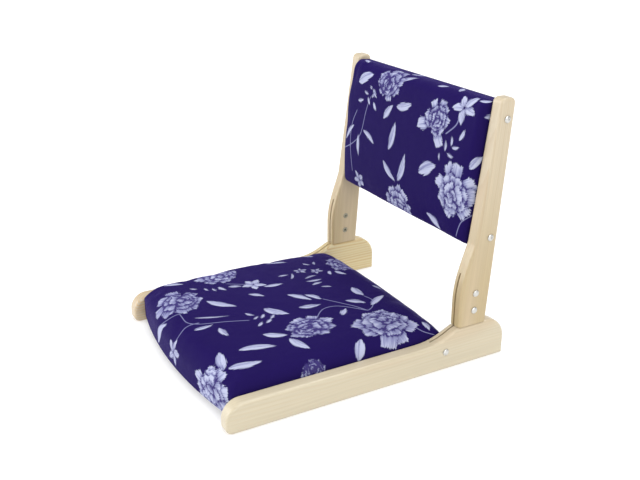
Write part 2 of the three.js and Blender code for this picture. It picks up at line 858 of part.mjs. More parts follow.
export default model;
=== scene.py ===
import json
import math

import bmesh
import bpy
import numpy as np
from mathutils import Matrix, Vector
from mathutils.kdtree import KDTree


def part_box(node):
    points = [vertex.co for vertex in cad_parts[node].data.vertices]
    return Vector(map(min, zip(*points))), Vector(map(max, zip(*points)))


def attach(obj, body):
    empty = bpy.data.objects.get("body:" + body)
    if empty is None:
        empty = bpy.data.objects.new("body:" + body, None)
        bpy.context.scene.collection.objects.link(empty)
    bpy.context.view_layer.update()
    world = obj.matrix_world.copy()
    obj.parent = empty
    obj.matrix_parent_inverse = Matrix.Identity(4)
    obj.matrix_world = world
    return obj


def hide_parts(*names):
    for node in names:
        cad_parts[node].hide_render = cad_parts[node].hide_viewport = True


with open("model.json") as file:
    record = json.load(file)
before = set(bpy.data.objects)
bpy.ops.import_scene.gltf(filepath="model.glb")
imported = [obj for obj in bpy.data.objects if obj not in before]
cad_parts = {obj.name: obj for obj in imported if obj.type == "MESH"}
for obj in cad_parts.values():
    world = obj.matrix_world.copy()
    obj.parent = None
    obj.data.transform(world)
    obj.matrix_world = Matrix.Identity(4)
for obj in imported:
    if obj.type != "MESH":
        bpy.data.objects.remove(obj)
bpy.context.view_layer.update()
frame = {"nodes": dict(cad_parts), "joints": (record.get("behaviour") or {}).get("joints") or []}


# The room. A pale floor that is lit a little from below, soft white light from all sides and three broad
# windows: at the chair's left, low at its front right, and overhead towards the rear. None of it belongs to
# the chair.

floor_half = 60.0
floor_drop = 0.0002
floor_colour = (0.62, 0.62, 0.617, 1)
floor_glow = 0.42
wall_light = 1.0
room_light = 0.45
wall_fade = (0.06, 0.3)      # the walls' light fades between these heights, as sines of the angle above level
lamps = {
    "left_window": {"from": (0.9, -0.12, 0.62), "spread": 50, "strength": 1.82},
    "right_window": {"from": (-0.5, -0.82, 0.3), "spread": 40, "strength": 2.2},
    "top_window": {"from": (-0.05, 0.42, 1.4), "spread": 45, "strength": 1.9},
}
camera_place = (1.1854, -0.6441, 0.725)
camera_down = 22.2      # degrees below level
camera_round = 60.66    # degrees from the chair's front towards its left side
lens_mm = 50
film_width_mm = 36


def feed(tree, node, feeds):
    """Gives each socket, by its name or number, a value or another node's output."""
    for key, value in feeds.items():
        if isinstance(value, bpy.types.NodeSocket):
            tree.links.new(value, node.inputs[key])
        else:
            node.inputs[key].default_value = value


def place(tree, kind, settings=None, feeds=None):
    """Adds a node with its settings and feeds."""
    made = tree.nodes.new(kind)
    for name, value in (settings or {}).items():
        setattr(made, name, value)
    feed(tree, made, feeds or {})
    return made


def stretched(tree, vector, scale):
    """A place vector multiplied by a scale along each axis."""
    return place(tree, "ShaderNodeVectorMath", {"operation": "MULTIPLY"}, {0: vector, 1: scale}).outputs[0]


def noise(tree, where, scale, detail=2.0, roughness=0.5):
    """Cloudy noise at a place vector, with one scale for all or one along each axis."""
    if isinstance(scale, tuple):
        where, scale = stretched(tree, where, scale), 1.0
    feeds = {"Vector": where, "Scale": scale, "Detail": detail, "Roughness": roughness}
    return place(tree, "ShaderNodeTexNoise", None, feeds).outputs[0]


def ramped(tree, value, low, high, to_low=0.0, to_high=1.0, smooth=True):
    """A value taken from one range to another, held at the ends."""
    kind = "SMOOTHSTEP" if smooth else "LINEAR"
    feeds = {"Value": value, "From Min": low, "From Max": high, "To Min": to_low, "To Max": to_high}
    return place(tree, "ShaderNodeMapRange", {"interpolation_type": kind}, feeds).outputs[0]


def new_material(name, settings=None):
    """A material with its output and one Principled shader, and the settings that are even all over."""
    material = bpy.data.materials.new(name)
    material.use_nodes = True
    tree = material.node_tree
    tree.nodes.clear()
    shader = place(tree, "ShaderNodeBsdfPrincipled", None, settings)
    place(tree, "ShaderNodeOutputMaterial", None, {"Surface": shader.outputs["BSDF"]})
    return material, tree, shader


def lit_floor():
    """Matt white acrylic with a faint unevenness and light below it."""
    material, tree, shader = new_material("lit_floor", {
        "Base Color": floor_colour, "Emission Color": (1, 1, 1, 1), "Emission Strength": floor_glow,
    })
    here = place(tree, "ShaderNodeTexCoord").outputs["Object"]
    feed(tree, shader, {"Roughness": ramped(tree, noise(tree, here, 3.0), 0.0, 1.0, 0.72, 0.8, False)})
    return material


def mesh_object(name, points, faces, material=None):
    """A mesh object from points and faces, linked to the scene, at the origin."""
    mesh = bpy.data.meshes.new(name)
    mesh.from_pydata([tuple(p) for p in points], [], faces)
    mesh.update()
    if material:
        mesh.materials.append(material)
    made = bpy.data.objects.new(name, mesh)
    bpy.context.scene.collection.objects.link(made)
    return made


floor_corners = [(-1, -1), (1, -1), (1, 1), (-1, 1)]
floor = mesh_object(
    "studio_floor",
    [(x * floor_half, y * floor_half, -floor_drop) for x, y in floor_corners],
    [(0, 1, 2, 3)],
    lit_floor(),
)

for lamp_name, lamp in lamps.items():
    light = bpy.data.lights.new(lamp_name, "SUN")
    light.angle = math.radians(lamp["spread"])
    light.energy = lamp["strength"]
    lamp_object = bpy.data.objects.new(lamp_name, light)
    lamp_object.location = lamp["from"]
    lamp_object.rotation_euler = (-Vector(lamp["from"])).to_track_quat("-Z", "Y").to_euler()
    bpy.context.scene.collection.objects.link(lamp_object)

world = bpy.data.worlds.new("studio_white")
world.use_nodes = True
walls = world.node_tree
sight = place(walls, "ShaderNodeTexCoord").outputs["Generated"]
upwards = place(walls, "ShaderNodeSeparateXYZ", None, {0: sight}).outputs[2]
feed(walls, walls.nodes["Background"], {
    "Color": (1, 1, 1, 1), "Strength": ramped(walls, upwards, *wall_fade, wall_light, room_light),
})
bpy.context.scene.world = world
bpy.context.scene.view_settings.view_transform = "Standard"

camera_data = bpy.data.cameras.new("camera")
camera_data.lens = lens_mm
camera_data.sensor_width = film_width_mm
camera = bpy.data.objects.new("camera", camera_data)
camera.location = camera_place
camera.rotation_euler = (math.radians(90 - camera_down), 0, math.radians(camera_round))
bpy.context.scene.collection.objects.link(camera)
bpy.context.scene.camera = camera


# The side rails. Each is one sawn pine board on edge with a raised heel at the rear, a slot in the heel for
# the hinge plate, bored for the fasteners, rounded over all round and given a thin satin lacquer.

mm = 0.001
rail_low, rail_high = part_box("left_rail")
rail_rear = rail_high.y
rail_front = rail_low.y
rail_inner = rail_low.x
rail_outer = rail_high.x
heel_height = rail_high.z
rail_height = 47 * mm
heel_rear_round = 38 * mm
heel_flat_end = 90 * mm      # forward from the rear end
heel_foot_end = 165 * mm
heel_shoulder = (0.24, 0.81)
heel_ankle = (0.4, 0.02)
nose_top_round = 28 * mm
nose_bottom_round = 10 * mm
edge_round = 5 * mm
round_steps = 8
heel_steps = 22
nose_top_steps = 18
nose_bottom_steps = 12
bore_sides = 40
fine_break = 0.35 * mm       # the sanded edge of slots and bores
sharp_turn = 38              # degrees; a sharper edge stays an edge

pine_early = (0.49, 0.432, 0.312, 1)
pine_late = (0.405, 0.28, 0.16, 1)
pine_stain = (0.465, 0.365, 0.24, 1)
late_wood_from = 0.3         # of a year's ring
late_wood_full = 0.93
ring_wander = 20 * mm
ring_shiver = 1.6 * mm


def arc(centre, radius, start, end, steps):
    """Points of an arc, from one angle to another in degrees."""
    angles = np.radians(np.linspace(start, end, steps + 1))
    return np.column_stack([centre[0] + radius * np.cos(angles), centre[1] + radius * np.sin(angles)])


def bezier(first, second, third, fourth, steps):
    """Points of a cubic curve, without its first point."""
    t = np.linspace(0, 1, steps + 1)[1:, None]
    a, b, c, d = (np.array(p) for p in (first, second, third, fourth))
    return (1 - t) ** 3 * a + 3 * (1 - t) ** 2 * t * b + 3 * (1 - t) * t ** 2 * c + t ** 3 * d


def drawn_in(outline, inset):
    """The outline moved inwards by an even amount. It runs anticlockwise."""
    along = np.roll(outline, -1, 0) - outline
    along /= np.linalg.norm(along, axis=1)[:, None]
    inward = np.column_stack([-along[:, 1], along[:, 0]])
    both = inward + np.roll(inward, 1, 0)
    both /= (both * inward).sum(1)[:, None]
    return outline + inset * both


def upright_plane(points, depth):
    """A side outline in Y and Z, set across the chair."""
    return np.column_stack([np.full(len(points), depth), points])


def rounded_plate(name, outline, low, high, rounding, plane):
    """A plate of the given outline between two depths, with both its edges rounded over."""
    rings = []
    for turn in np.radians(np.linspace(0, 90, round_steps + 1)):
        inset = rounding * (1 - math.sin(turn))
        rings.append((low + rounding * (1 - math.cos(turn)), inset))
    rings += [(low + high - depth, inset) for depth, inset in reversed(rings)]
    points = np.vstack([plane(drawn_in(outline, inset), depth) for depth, inset in rings])
    count = len(outline)
    faces = [tuple(reversed(range(count)))]
    for ring in range(len(rings) - 1):
        for k in range(count):
            a = ring * count + k
            b = ring * count + (k + 1) % count
            faces.append((a, b, b + count, a + count))
    faces.append(tuple(range(count * (len(rings) - 1), count * len(rings))))
    return mesh_object(name, points, faces)


def straight_prism(name, outline, low, high, plane):
    """A sharp-edged block of the given outline, used to cut with."""
    count = len(outline)
    points = np.vstack([plane(np.array(outline, float), low), plane(np.array(outline, float), high)])
    faces = [tuple(reversed(range(count))), tuple(range(count, 2 * count))]
    for k in range(count):
        follow = (k + 1) % count
        faces.append((k, follow, follow + count, k + count))
    return mesh_object(name, points, faces)


def bore(name, radius, low, high, centre):
    """A round cutter along X."""
    outline = arc(centre, radius, 0, 360, bore_sides)[:-1]
    return straight_prism(name, outline, low, high, upright_plane)


def settle(piece):
    """Makes what the modifiers give the piece's own mesh, and takes them off."""
    bpy.context.view_layer.update()
    seen = piece.evaluated_get(bpy.context.evaluated_depsgraph_get())
    mesh = bpy.data.meshes.new_from_object(seen)
    piece.modifiers.clear()
    piece.data = mesh
    return piece


def carve(piece, cutters):
    """Cuts every cutter out of the piece and removes the cutters."""
    for cutter in cutters:
        cutting = piece.modifiers.new("cut", "BOOLEAN")
        cutting.operation = "DIFFERENCE"
        cutting.solver = "EXACT"
        cutting.object = cutter
    settle(piece)
    for cutter in cutters:
        bpy.data.objects.remove(cutter)
    return piece


def soften(piece, width):
    """Breaks the sharp edges by a little, shades the piece smooth and keeps flat faces flat."""
    if width:
        breaking = piece.modifiers.new("break", "BEVEL")
        breaking.width = width
        breaking.segments = 2
        breaking.limit_method = "ANGLE"
        breaking.angle_limit = math.radians(sharp_turn)
        breaking.use_clamp_overlap = True
        settle(piece)
    piece.data.shade_smooth()
    piece.data.set_sharp_from_angle(angle=math.radians(sharp_turn))
    weighing = piece.modifiers.new("weigh", "WEIGHTED_NORMAL")
    weighing.keep_sharp = True
    weighing.weight = 100
    return settle(piece)


def new_group(name, inputs, outputs):
    """A shader node group with named inputs and outputs, what it is given and the node that puts out."""
    group = bpy.data.node_groups.new(name, "ShaderNodeTree")
    for label, kind, value in inputs:
        socket = group.interface.new_socket(label, in_out="INPUT", socket_type="NodeSocket" + kind)
        if value is not None:
            socket.default_value = value
    for label, kind in outputs:
        group.interface.new_socket(label, in_out="OUTPUT", socket_type="NodeSocket" + kind)
    return group, place(group, "NodeGroupInput").outputs, place(group, "NodeGroupOutput")


def maths(tree, operation, *values):
    """The result of a Math node."""
    return place(tree, "ShaderNodeMath", {"operation": operation}, dict(enumerate(values))).outputs[0]


def swing(tree, value, amount, rest=0.5):
    """How far a noise is from its rest, times an amount."""
    return maths(tree, "MULTIPLY", maths(tree, "SUBTRACT", value, rest), amount)


def blended(tree, share, first, second, mode="MIX"):
    """Two colours mixed by a share."""
    feeds = {0: share, 6: first, 7: second}
    return place(tree, "ShaderNodeMix", {"data_type": "RGBA", "blend_type": mode}, feeds).outputs[2]


def shaded(tree, colour, shade):
    """A colour multiplied by a grey shade."""
    grey = place(tree, "ShaderNodeCombineColor", None, {0: shade, 1: shade, 2: shade}).outputs[0]
    return blended(tree, 1.0, colour, grey, "MULTIPLY")


def bumped(tree, height, strength, distance, over=None):
    """The normal of a bump, which may lie over another one."""
    feeds = {"Height": height, "Strength": strength, "Distance": distance}
    if over is not None:
        feeds["Normal"] = over
    return place(tree, "ShaderNodeBump", None, feeds).outputs[0]


def pine_grain_group():
    """Sawn pine, grain along Y: rings round a pith, fibres, warm stains, and early wood that shifts along Y.
    """
    inputs = [
        ("Place", "Vector", None),
        ("Pith", "Vector", (0.05, 0.0, -0.12)),
        ("Ring Gap", "Float", 4.2 * mm),
        ("Late Wood Share", "Float", 0.5),
        ("Early Wood", "Color", pine_early),
        ("Along Wood", "Color", pine_early),
        ("Along From", "Float", 0.0),
        ("Along To", "Float", 1.0),
        ("Late Wood", "Color", pine_late),
        ("Stain", "Color", pine_stain),
    ]
    outputs = [("Colour", "Color"), ("Roughness", "Float"), ("Height", "Float")]
    group, given, wanted = new_group("pine_grain", inputs, outputs)
    here = given["Place"]
    slow = noise(group, here, (16, 2.4, 16), roughness=0.45)
    quick = noise(group, here, (90, 9, 90))
    from_pith = place(group, "ShaderNodeVectorMath", {"operation": "SUBTRACT"}, {0: here, 1: given["Pith"]})
    flat = stretched(group, from_pith.outputs[0], (1, 0, 1))
    reach = place(group, "ShaderNodeVectorMath", {"operation": "LENGTH"}, {0: flat}).outputs["Value"]
    distance = maths(group, "ADD", reach, swing(group, slow, ring_wander))
    distance = maths(group, "ADD", distance, swing(group, quick, ring_shiver))
    count = maths(group, "DIVIDE", distance, given["Ring Gap"])
    phase = maths(group, "FRACT", count)
    year = maths(group, "FLOOR", count)
    by_year = place(group, "ShaderNodeTexWhiteNoise", {"noise_dimensions": "1D"}, {"W": year})
    strength = by_year.outputs["Value"]
    swelling = ramped(group, phase, late_wood_from, late_wood_full)
    ending = ramped(group, phase, late_wood_full, 1.0, 1.0, 0.0)
    late = maths(group, "MULTIPLY", maths(group, "MULTIPLY", swelling, ending), given["Late Wood Share"])
    late = maths(group, "MULTIPLY", late, ramped(group, strength, 0.0, 1.0, 0.35, 1.0, False))
    fibre = noise(group, here, (1500, 22, 1500), 3.0)
    streak = noise(group, here, (340, 5, 340))
    patch = noise(group, here, (22, 3.2, 22), 1.0)
    length = place(group, "ShaderNodeSeparateXYZ", None, {0: here}).outputs[1]
    along_share = ramped(group, length, given["Along From"], given["Along To"])
    early = blended(group, along_share, given["Early Wood"], given["Along Wood"])
    colour = blended(group, late, early, given["Late Wood"])
    colour = blended(group, ramped(group, patch, 0.5, 0.72, 0.0, 0.6), colour, given["Stain"])
    light = ramped(group, streak, 0.3, 0.7, 0.95, 1.03, False)
    light = maths(group, "MULTIPLY", light, ramped(group, fibre, 0.25, 0.75, 0.965, 1.02, False))
    raised = maths(group, "ADD", maths(group, "MULTIPLY", fibre, 0.6), maths(group, "MULTIPLY", late, 0.4))
    feed(group, wanted, {
        "Colour": shaded(group, colour, light),
        "Roughness": ramped(group, fibre, 0.3, 0.7, 0.36, 0.46, False),
        "Height": raised,
    })
    return group


pine_grain = pine_grain_group()


def lacquered_pine(name, wood, turn=(0, 0, 0)):
    """Pine under a thin satin lacquer. The grain group is fed the wood, and the turn lays it along Y."""
    material, tree, shader = new_material(name, {"Coat Weight": 0.3, "Coat Roughness": 0.22, "IOR": 1.48})
    here = place(tree, "ShaderNodeTexCoord").outputs["Object"]
    turned = place(tree, "ShaderNodeMapping", None, {"Vector": here, "Rotation": turn})
    grain = place(tree, "ShaderNodeGroup", {"node_tree": pine_grain}, {"Place": turned.outputs[0], **wood})
    feed(tree, shader, {
        "Base Color": grain.outputs["Colour"],
        "Roughness": grain.outputs["Roughness"],
        "Normal": bumped(tree, grain.outputs["Height"], 0.25, 0.2 * mm),
    })
    return material


def rail_outline():
    """The rail from the side, anticlockwise from the rear foot."""
    slope = heel_foot_end - heel_flat_end
    fall = heel_height - rail_height
    top_rear = rail_rear - heel_flat_end
    top_front = rail_rear - heel_foot_end
    return np.vstack([
        [(rail_rear, 0)],
        arc((rail_rear - heel_rear_round, heel_height - heel_rear_round), heel_rear_round, 0, 90, heel_steps),
        [(top_rear, heel_height)],
        bezier(
            (top_rear, heel_height),
            (top_rear - slope * heel_shoulder[0], rail_height + fall * heel_shoulder[1]),
            (top_rear - slope * heel_ankle[0], rail_height + fall * heel_ankle[1]),
            (top_front, rail_height),
            heel_steps,
        ),
        arc(
            (rail_front + nose_top_round, rail_height - nose_top_round),
            nose_top_round, 90, 180, nose_top_steps,
        ),
        arc(
            (rail_front + nose_bottom_round, nose_bottom_round),
            nose_bottom_round, 180, 270, nose_bottom_steps,
        ),
    ])


def side_middle(node):
    """The middle of a node's box seen from the side, in Y and Z."""
    low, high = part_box(node)
    return np.array([(low.y + high.y) / 2, (low.z + high.z) / 2])


# The slot spreads like a fan from the pivot, so that the plate can swing from open to folded.

pivot = side_middle("left_pivot_bolt")
plate_low, plate_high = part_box("left_hinge_plate")
plate_middle = (plate_low.x + plate_high.x) / 2
slot_clear = 0.3 * mm
slot_half = (plate_high.x - plate_low.x) / 2 + slot_clear
slot_room = 0.8 * mm
slot_steps = 30
plate_eye = 12 * mm
rear_knee_drop = 6 * mm
front_knee_drop = 2 * mm
front_knee_forward = 80 * mm
rear_knee = np.array([plate_high.y, heel_height - rear_knee_drop])
front_knee = np.array([rail_rear - front_knee_forward, heel_height - front_knee_drop])
fold_angle = frame["joints"][0]["range_deg"][1]
sleeve_bore = 4.3 * mm
flange_bore = 5.3 * mm
flange_depth = 1.8 * mm
dowel_bore = 4.3 * mm
dowel_depth = 12.3 * mm
overrun = 5 * mm
dowels = [f"{end}_dowel_{number}" for end in ("front", "rear") for number in (1, 2)]
dowel_places = [side_middle(f"left_{dowel}") for dowel in dowels]


def tangent(knee, turn):
    """The angle about the pivot at which the straight edge from a knee meets the plate's round eye."""
    away = knee - pivot
    return math.atan2(away[1], away[0]) + turn * math.acos(plate_eye / np.linalg.norm(away))


def slot_outline():
    """The slot from the side, anticlockwise from its rear wall."""
    radius = plate_eye + slot_room
    rear_angle = tangent(rear_knee, -1)
    front_angle = tangent(front_knee, 1) + math.radians(fold_angle)
    rear_start = pivot + radius * np.array([math.cos(rear_angle), math.sin(rear_angle)])
    front_start = pivot + radius * np.array([math.cos(front_angle), math.sin(front_angle)])
    rear_wall = rear_knee[0] + slot_room
    rear_run = (rear_wall - rear_start[0]) / -math.sin(rear_angle)
    top = heel_height + overrun
    front_run = (top - front_start[1]) / -math.cos(front_angle)
    around = arc(pivot, radius, math.degrees(front_angle), math.degrees(rear_angle) + 360, slot_steps)
    return np.vstack([
        [(rear_wall, rear_start[1] + rear_run * math.cos(rear_angle))],
        [(rear_wall, top)],
        [(front_start[0] + front_run * math.sin(front_angle), top)],
        around,
    ])


def side_rail(side, name):
    """One rail with its slot and bores. The side is 1 for the sitter's left and -1 for the right."""
    inner, outer = side * rail_inner, side * rail_outer
    low, high = min(inner, outer), max(inner, outer)
    piece = rounded_plate(name, rail_outline(), low, high, edge_round, upright_plane)
    middle = side * plate_middle
    deep = sorted((inner - side * overrun, side * (rail_inner + dowel_depth)))
    flange = sorted((inner - side * overrun, side * (rail_inner + flange_depth)))
    cutters = [
        straight_prism("slot", slot_outline(), middle - slot_half, middle + slot_half, upright_plane),
        bore("pivot_bore", sleeve_bore, low - overrun, high + overrun, pivot),
        bore("flange_bore", flange_bore, *flange, pivot),
    ]
    cutters += [bore("dowel_bore", dowel_bore, *deep, centre) for centre in dowel_places]
    carve(piece, cutters)
    return soften(piece, fine_break)


both_sides = (("left", 1), ("right", -1))
rail_wood = {
    "left": {"Pith": (0.30, 0, -0.060), "Late Wood Share": 0.2},
    "right": {
        # The right rail, the far one, has darker wood with more late wood than the left: painted shade for
        # the chair's shaded inside. It turns more orange towards its rear.
        "Pith": (-0.115, 0, 0.140), "Late Wood Share": 0.85,
        "Early Wood": (0.445, 0.375, 0.265, 1), "Along Wood": (0.56, 0.475, 0.27, 1),
        "Late Wood": (0.46, 0.27, 0.10, 1), "Along From": 0.0, "Along To": 0.19,
    },
}
for hand, side in both_sides:
    rail = side_rail(side, f"{hand}_rail_wood")
    rail.data.materials.append(lacquered_pine(f"{hand}_rail_pine", rail_wood[hand]))
    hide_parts(f"{hand}_rail")
    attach(rail, "seat_frame")


# The uprights. Each is a sawn pine post that swells at the foot and tapers to a rounded top, slotted from
# the front of the foot for the hinge plate, bored for its bolts and lacquered like the rails.

post_low, post_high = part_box("left_upright")
foot_forward = 41 * mm
foot_rear = rail_rear - foot_forward
foot_height = post_low.z
foot_depth = 53 * mm
swell_rise = 42 * mm
waist_rise = 137 * mm
waist_forward = 29 * mm
top_rise = post_high.z - foot_height
lean_back = post_high.y - foot_rear
top_depth = 27 * mm
top_round = 9 * mm
swell_pull = (0.4, 0.66)
swell_bulge = (0.04, 0.58)
kerf_rear = 9.2 * mm
kerf_top = 76 * mm
kerf_front_rise = 92 * mm
bolt_bore = 3.3 * mm
top_steps = 12
swell_steps = 26


def on_post(forward, rise):
    """A point of the post, from how far it lies forward of and above the foot's rear corner."""
    return (foot_rear - forward, foot_height + rise)


def post_outline():
    """The post from the side, anticlockwise from the foot's rear corner."""
    span = waist_rise - swell_rise
    draw = foot_depth - waist_forward
    rear_top = on_post(-lean_back, top_rise)
    front_top = on_post(top_depth - lean_back, top_rise)
    swell = on_post(foot_depth, swell_rise)
    waist = on_post(waist_forward, waist_rise)
    low_pull = on_post(foot_depth - draw * swell_bulge[0], swell_rise + span * swell_pull[0])
    high_pull = on_post(foot_depth - draw * swell_bulge[1], swell_rise + span * swell_pull[1])
    return np.vstack([
        [on_post(0, -overrun)],
        arc((rear_top[0] - top_round, rear_top[1] - top_round), top_round, 0, 90, top_steps),
        arc((front_top[0] + top_round, front_top[1] - top_round), top_round, 90, 180, top_steps),
        [waist],
        bezier(waist, high_pull, low_pull, swell, swell_steps),
        [on_post(foot_depth, -overrun)],
    ])


levels = ("lower", "upper")
plate_bolt_places = [side_middle(f"left_{level}_plate_bolt") for level in levels]
back_bolt_places = [side_middle(f"left_{level}_back_bolt") for level in levels]


def back_post(side, name):
    """One upright with its saw cut and bores."""
    inner, outer = side * rail_inner, side * rail_outer
    low, high = min(inner, outer), max(inner, outer)
    piece = rounded_plate(name, post_outline(), low, high, edge_round, upright_plane)
    foot = [
        on_post(-overrun, -2 * overrun), on_post(-overrun, 0),
        on_post(foot_depth + overrun, 0), on_post(foot_depth + overrun, -2 * overrun),
    ]
    kerf = [
        on_post(kerf_rear, -2 * overrun), on_post(kerf_rear, kerf_top),
        on_post(foot_depth + overrun, kerf_front_rise), on_post(foot_depth + overrun, -2 * overrun),
    ]
    middle = side * plate_middle
    flange = sorted((inner - side * overrun, side * (rail_inner + flange_depth)))
    cutters = [
        straight_prism("foot", foot, low - overrun, high + overrun, upright_plane),
        straight_prism("kerf", kerf, middle - slot_half, middle + slot_half, upright_plane),
    ]
    for centre in plate_bolt_places:
        cutters.append(bore("sleeve_bore", sleeve_bore, low - overrun, high + overrun, centre))
        cutters.append(bore("flange_bore", flange_bore, *flange, centre))
    for centre in back_bolt_places:
        cutters.append(bore("bolt_bore", bolt_bore, low - overrun, high + overrun, centre))
    carve(piece, cutters)
    return soften(piece, fine_break)


# The posts turn darker and yellower from the top down to the foot.
post_tone = {
    "Early Wood": (0.482, 0.408, 0.29, 1), "Along Wood": (0.40, 0.312, 0.168, 1),
    "Along From": -0.40, "Along To": -0.09,
}
post_wood = {
    "left": {"Pith": (0.26, 0, -0.29), "Late Wood Share": 0.38, **post_tone},
    "right": {"Pith": (-0.10, 0, -0.33), "Late Wood Share": 0.6, **post_tone},
}
bolt_run = back_bolt_places[1] - back_bolt_places[0]
post_lean = math.atan2(*bolt_run)
for hand, side in both_sides:
    post = back_post(side, f"{hand}_upright_wood")
    post.data.materials.append(lacquered_pine(
        f"{hand}_upright_pine", post_wood[hand], (math.radians(90) + post_lean, 0, 0),
    ))
    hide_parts(f"{hand}_upright")
    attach(post, "back")


# The hinge plates. Each is a flat steel strip, blanked and pierced, plated and lightly brushed lengthwise,
# that is held in the upright's saw cut and turns in the rail's slot. The frame's own solids show them.

plate_steel_colour = (0.47, 0.475, 0.48, 1)


def worn_metal_group():
    """Plated metal: fine brushing along Z, cloudy plating and a few scratches."""
    inputs = [
        ("Place", "Vector", None), ("Brushing", "Float", 1.0),
        ("Smooth", "Float", 0.2), ("Rough", "Float", 0.4),
    ]
    outputs = [("Shade", "Float"), ("Roughness", "Float"), ("Height", "Float")]
    group, given, wanted = new_group("worn_metal", inputs, outputs)
    here = given["Place"]
    cloud = noise(group, here, 260.0, 3.0)
    scratch = place(group, "ShaderNodeTexVoronoi", {"feature": "DISTANCE_TO_EDGE"}, {
        "Vector": stretched(group, here, (300, 420, 160)), "Scale": 1.0,
    }).outputs[0]
    line = ramped(group, scratch, 0.0, 0.035, 1.0, 0.0)
    brushed = swing(group, noise(group, here, (4200, 4200, 130)), given["Brushing"])
    mixed = maths(group, "ADD", cloud, maths(group, "MULTIPLY", brushed, 0.6))
    feed(group, wanted, {
        "Roughness": ramped(group, mixed, 0.25, 0.8, given["Smooth"], given["Rough"], False),
        "Shade": ramped(group, mixed, 0.25, 0.8, 1.0, 0.86, False),
        "Height": maths(group, "SUBTRACT", brushed, maths(group, "MULTIPLY", line, 0.5)),
    })
    return group


worn_metal = worn_metal_group()


def plated_metal(name, colour, smooth, rough, brushing):
    """Plated steel of one colour over the shared wear."""
    material, tree, shader = new_material(name, {"Metallic": 1.0})
    here = place(tree, "ShaderNodeTexCoord").outputs["Object"]
    wear = place(tree, "ShaderNodeGroup", {"node_tree": worn_metal}, {
        "Place": here, "Brushing": brushing, "Smooth": smooth, "Rough": rough,
    })
    feed(tree, shader, {
        "Base Color": shaded(tree, colour, wear.outputs["Shade"]),
        "Roughness": wear.outputs["Roughness"],
        "Normal": bumped(tree, wear.outputs["Height"], 0.2, 0.04 * mm),
    })
    return material


def dress(node, material):
    """Gives a solid of the frame its finish."""
    solid = frame["nodes"][node]
    solid.data.materials.clear()
    solid.data.materials.append(material)


def on_both_sides(*names):
    """The frame's nodes of these names on both sides."""
    return [f"{hand}_{name}" for hand, side in both_sides for name in names]


strip_steel = plated_metal("strip_steel", plate_steel_colour, 0.34, 0.5, 1.0)
for plate in on_both_sides("hinge_plate"):
    dress(plate, strip_steel)


# The bolts and sleeve nuts. Domed bolts of zinc-plated steel enter from the outer faces. Those at the pivot
# and the foot screw into sleeve nuts whose flanges lie flush inside; the nuts are dark all over, painted
# shade for their hex sockets. The back bolts screw into threaded inserts in the back board and have a small
# six-sided drive recess.

zinc_colour = (0.60, 0.595, 0.57, 1)
# dark all over: painted shade for the sleeve nuts' hex sockets
sleeve_shade_colour = (0.30, 0.285, 0.22, 1)
head_radius = 5.5 * mm
head_rise = 2.6 * mm
head_foot = 0.35 * mm        # the upright rim under the dome
shank_radius = 3 * mm
recess_across = 3.4 * mm
recess_depth = 1.2 * mm
flange_radius = 5 * mm
flange_thick = 1.5 * mm
sleeve_radius = 4 * mm
sleeve_length = 19 * mm
socket_across = 4 * mm
socket_depth = 3 * mm
sleeve_web = 1.5 * mm
flange_break = 0.25 * mm
metal_break = 0.12 * mm
turned_sides = 64
dome_from = 8                # degrees up the head's round
dome_to = 82
dome_steps = 9
shank_break = 0.3 * mm
head_foot_break = shank_break / 2
head_gap = 0.3 * mm          # between a head and the wood
sleeve_clear = 0.3 * mm      # round the shank


def shank_length(bolt):
    """How long a bolt of the frame is below its head."""
    low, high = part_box(bolt)
    return (high.x - head_rise) - low.x


def level_plane(points, depth):
    """A plan in X and Y, set at a height."""
    return np.column_stack([points, np.full(len(points), depth)])


def turned_piece(name, profile):
    """A lathe-turned solid about Z. The profile gives radius and height, and starts and ends on the axis."""
    points = [(0, 0, profile[0][1])]
    middle = profile[1:-1]
    for radius, height in middle:
        for turn in np.linspace(0, 2 * math.pi, turned_sides, endpoint=False):
            points.append((radius * math.cos(turn), radius * math.sin(turn), height))
    points.append((0, 0, profile[-1][1]))
    last = len(points) - 1
    faces = []
    for k in range(turned_sides):
        follow = (k + 1) % turned_sides
        faces.append((0, 1 + follow, 1 + k))
        for ring in range(len(middle) - 1):
            base = 1 + ring * turned_sides
            above = base + turned_sides
            faces.append((base + k, base + follow, above + follow, above + k))
        base = 1 + (len(middle) - 1) * turned_sides
        faces.append((base + k, base + follow, last))
    return mesh_object(name, points, faces)


def hexagon(name, across, low, high):
    """A six-sided cutter along Z, given across its flats."""
    outline = arc((0, 0), across / math.sqrt(3), 0, 360, 6)[:-1]
    return straight_prism(name, outline, low, high, level_plane)


def hidden_model(piece):
    """Takes a model out of the scene, which shows only its copies."""
    bpy.context.scene.collection.objects.unlink(piece)
    return piece


def domed_bolt(name, shank, recess):
    """A bolt whose head stands up along Z from its seat at zero."""
    dome = [(0, -shank), (shank_radius - shank_break, -shank)]
    dome += [(shank_radius, -shank + shank_break), (shank_radius, 0)]
    dome += [(head_radius - head_foot_break, 0), (head_radius, head_foot_break), (head_radius, head_foot)]
    for turn in np.radians(np.linspace(dome_from, dome_to, dome_steps + 1)):
        dome.append((head_radius * math.cos(turn), head_foot + (head_rise - head_foot) * math.sin(turn)))
    dome.append((0, head_rise))
    piece = turned_piece(name, dome)
    if recess:
        carve(piece, [hexagon("recess", recess_across, head_rise - recess_depth, head_rise + overrun)])
    return hidden_model(soften(piece, metal_break if recess else 0))


def sleeve_nut(name):
    """A sleeve nut with its flange at the top, seen from inside the chair."""
    inner = shank_radius + sleeve_clear
    floor_of_bore = -(socket_depth + sleeve_web)
    piece = turned_piece(name, [
        (0, floor_of_bore), (inner, floor_of_bore), (inner, -sleeve_length), (sleeve_radius, -sleeve_length),
        (sleeve_radius, -flange_thick), (flange_radius, -flange_thick), (flange_radius, -flange_break),
        (flange_radius - flange_break, 0), (0, 0),
    ])
    carve(piece, [hexagon("socket", socket_across, -socket_depth, overrun)])
    return hidden_model(soften(piece, metal_break))


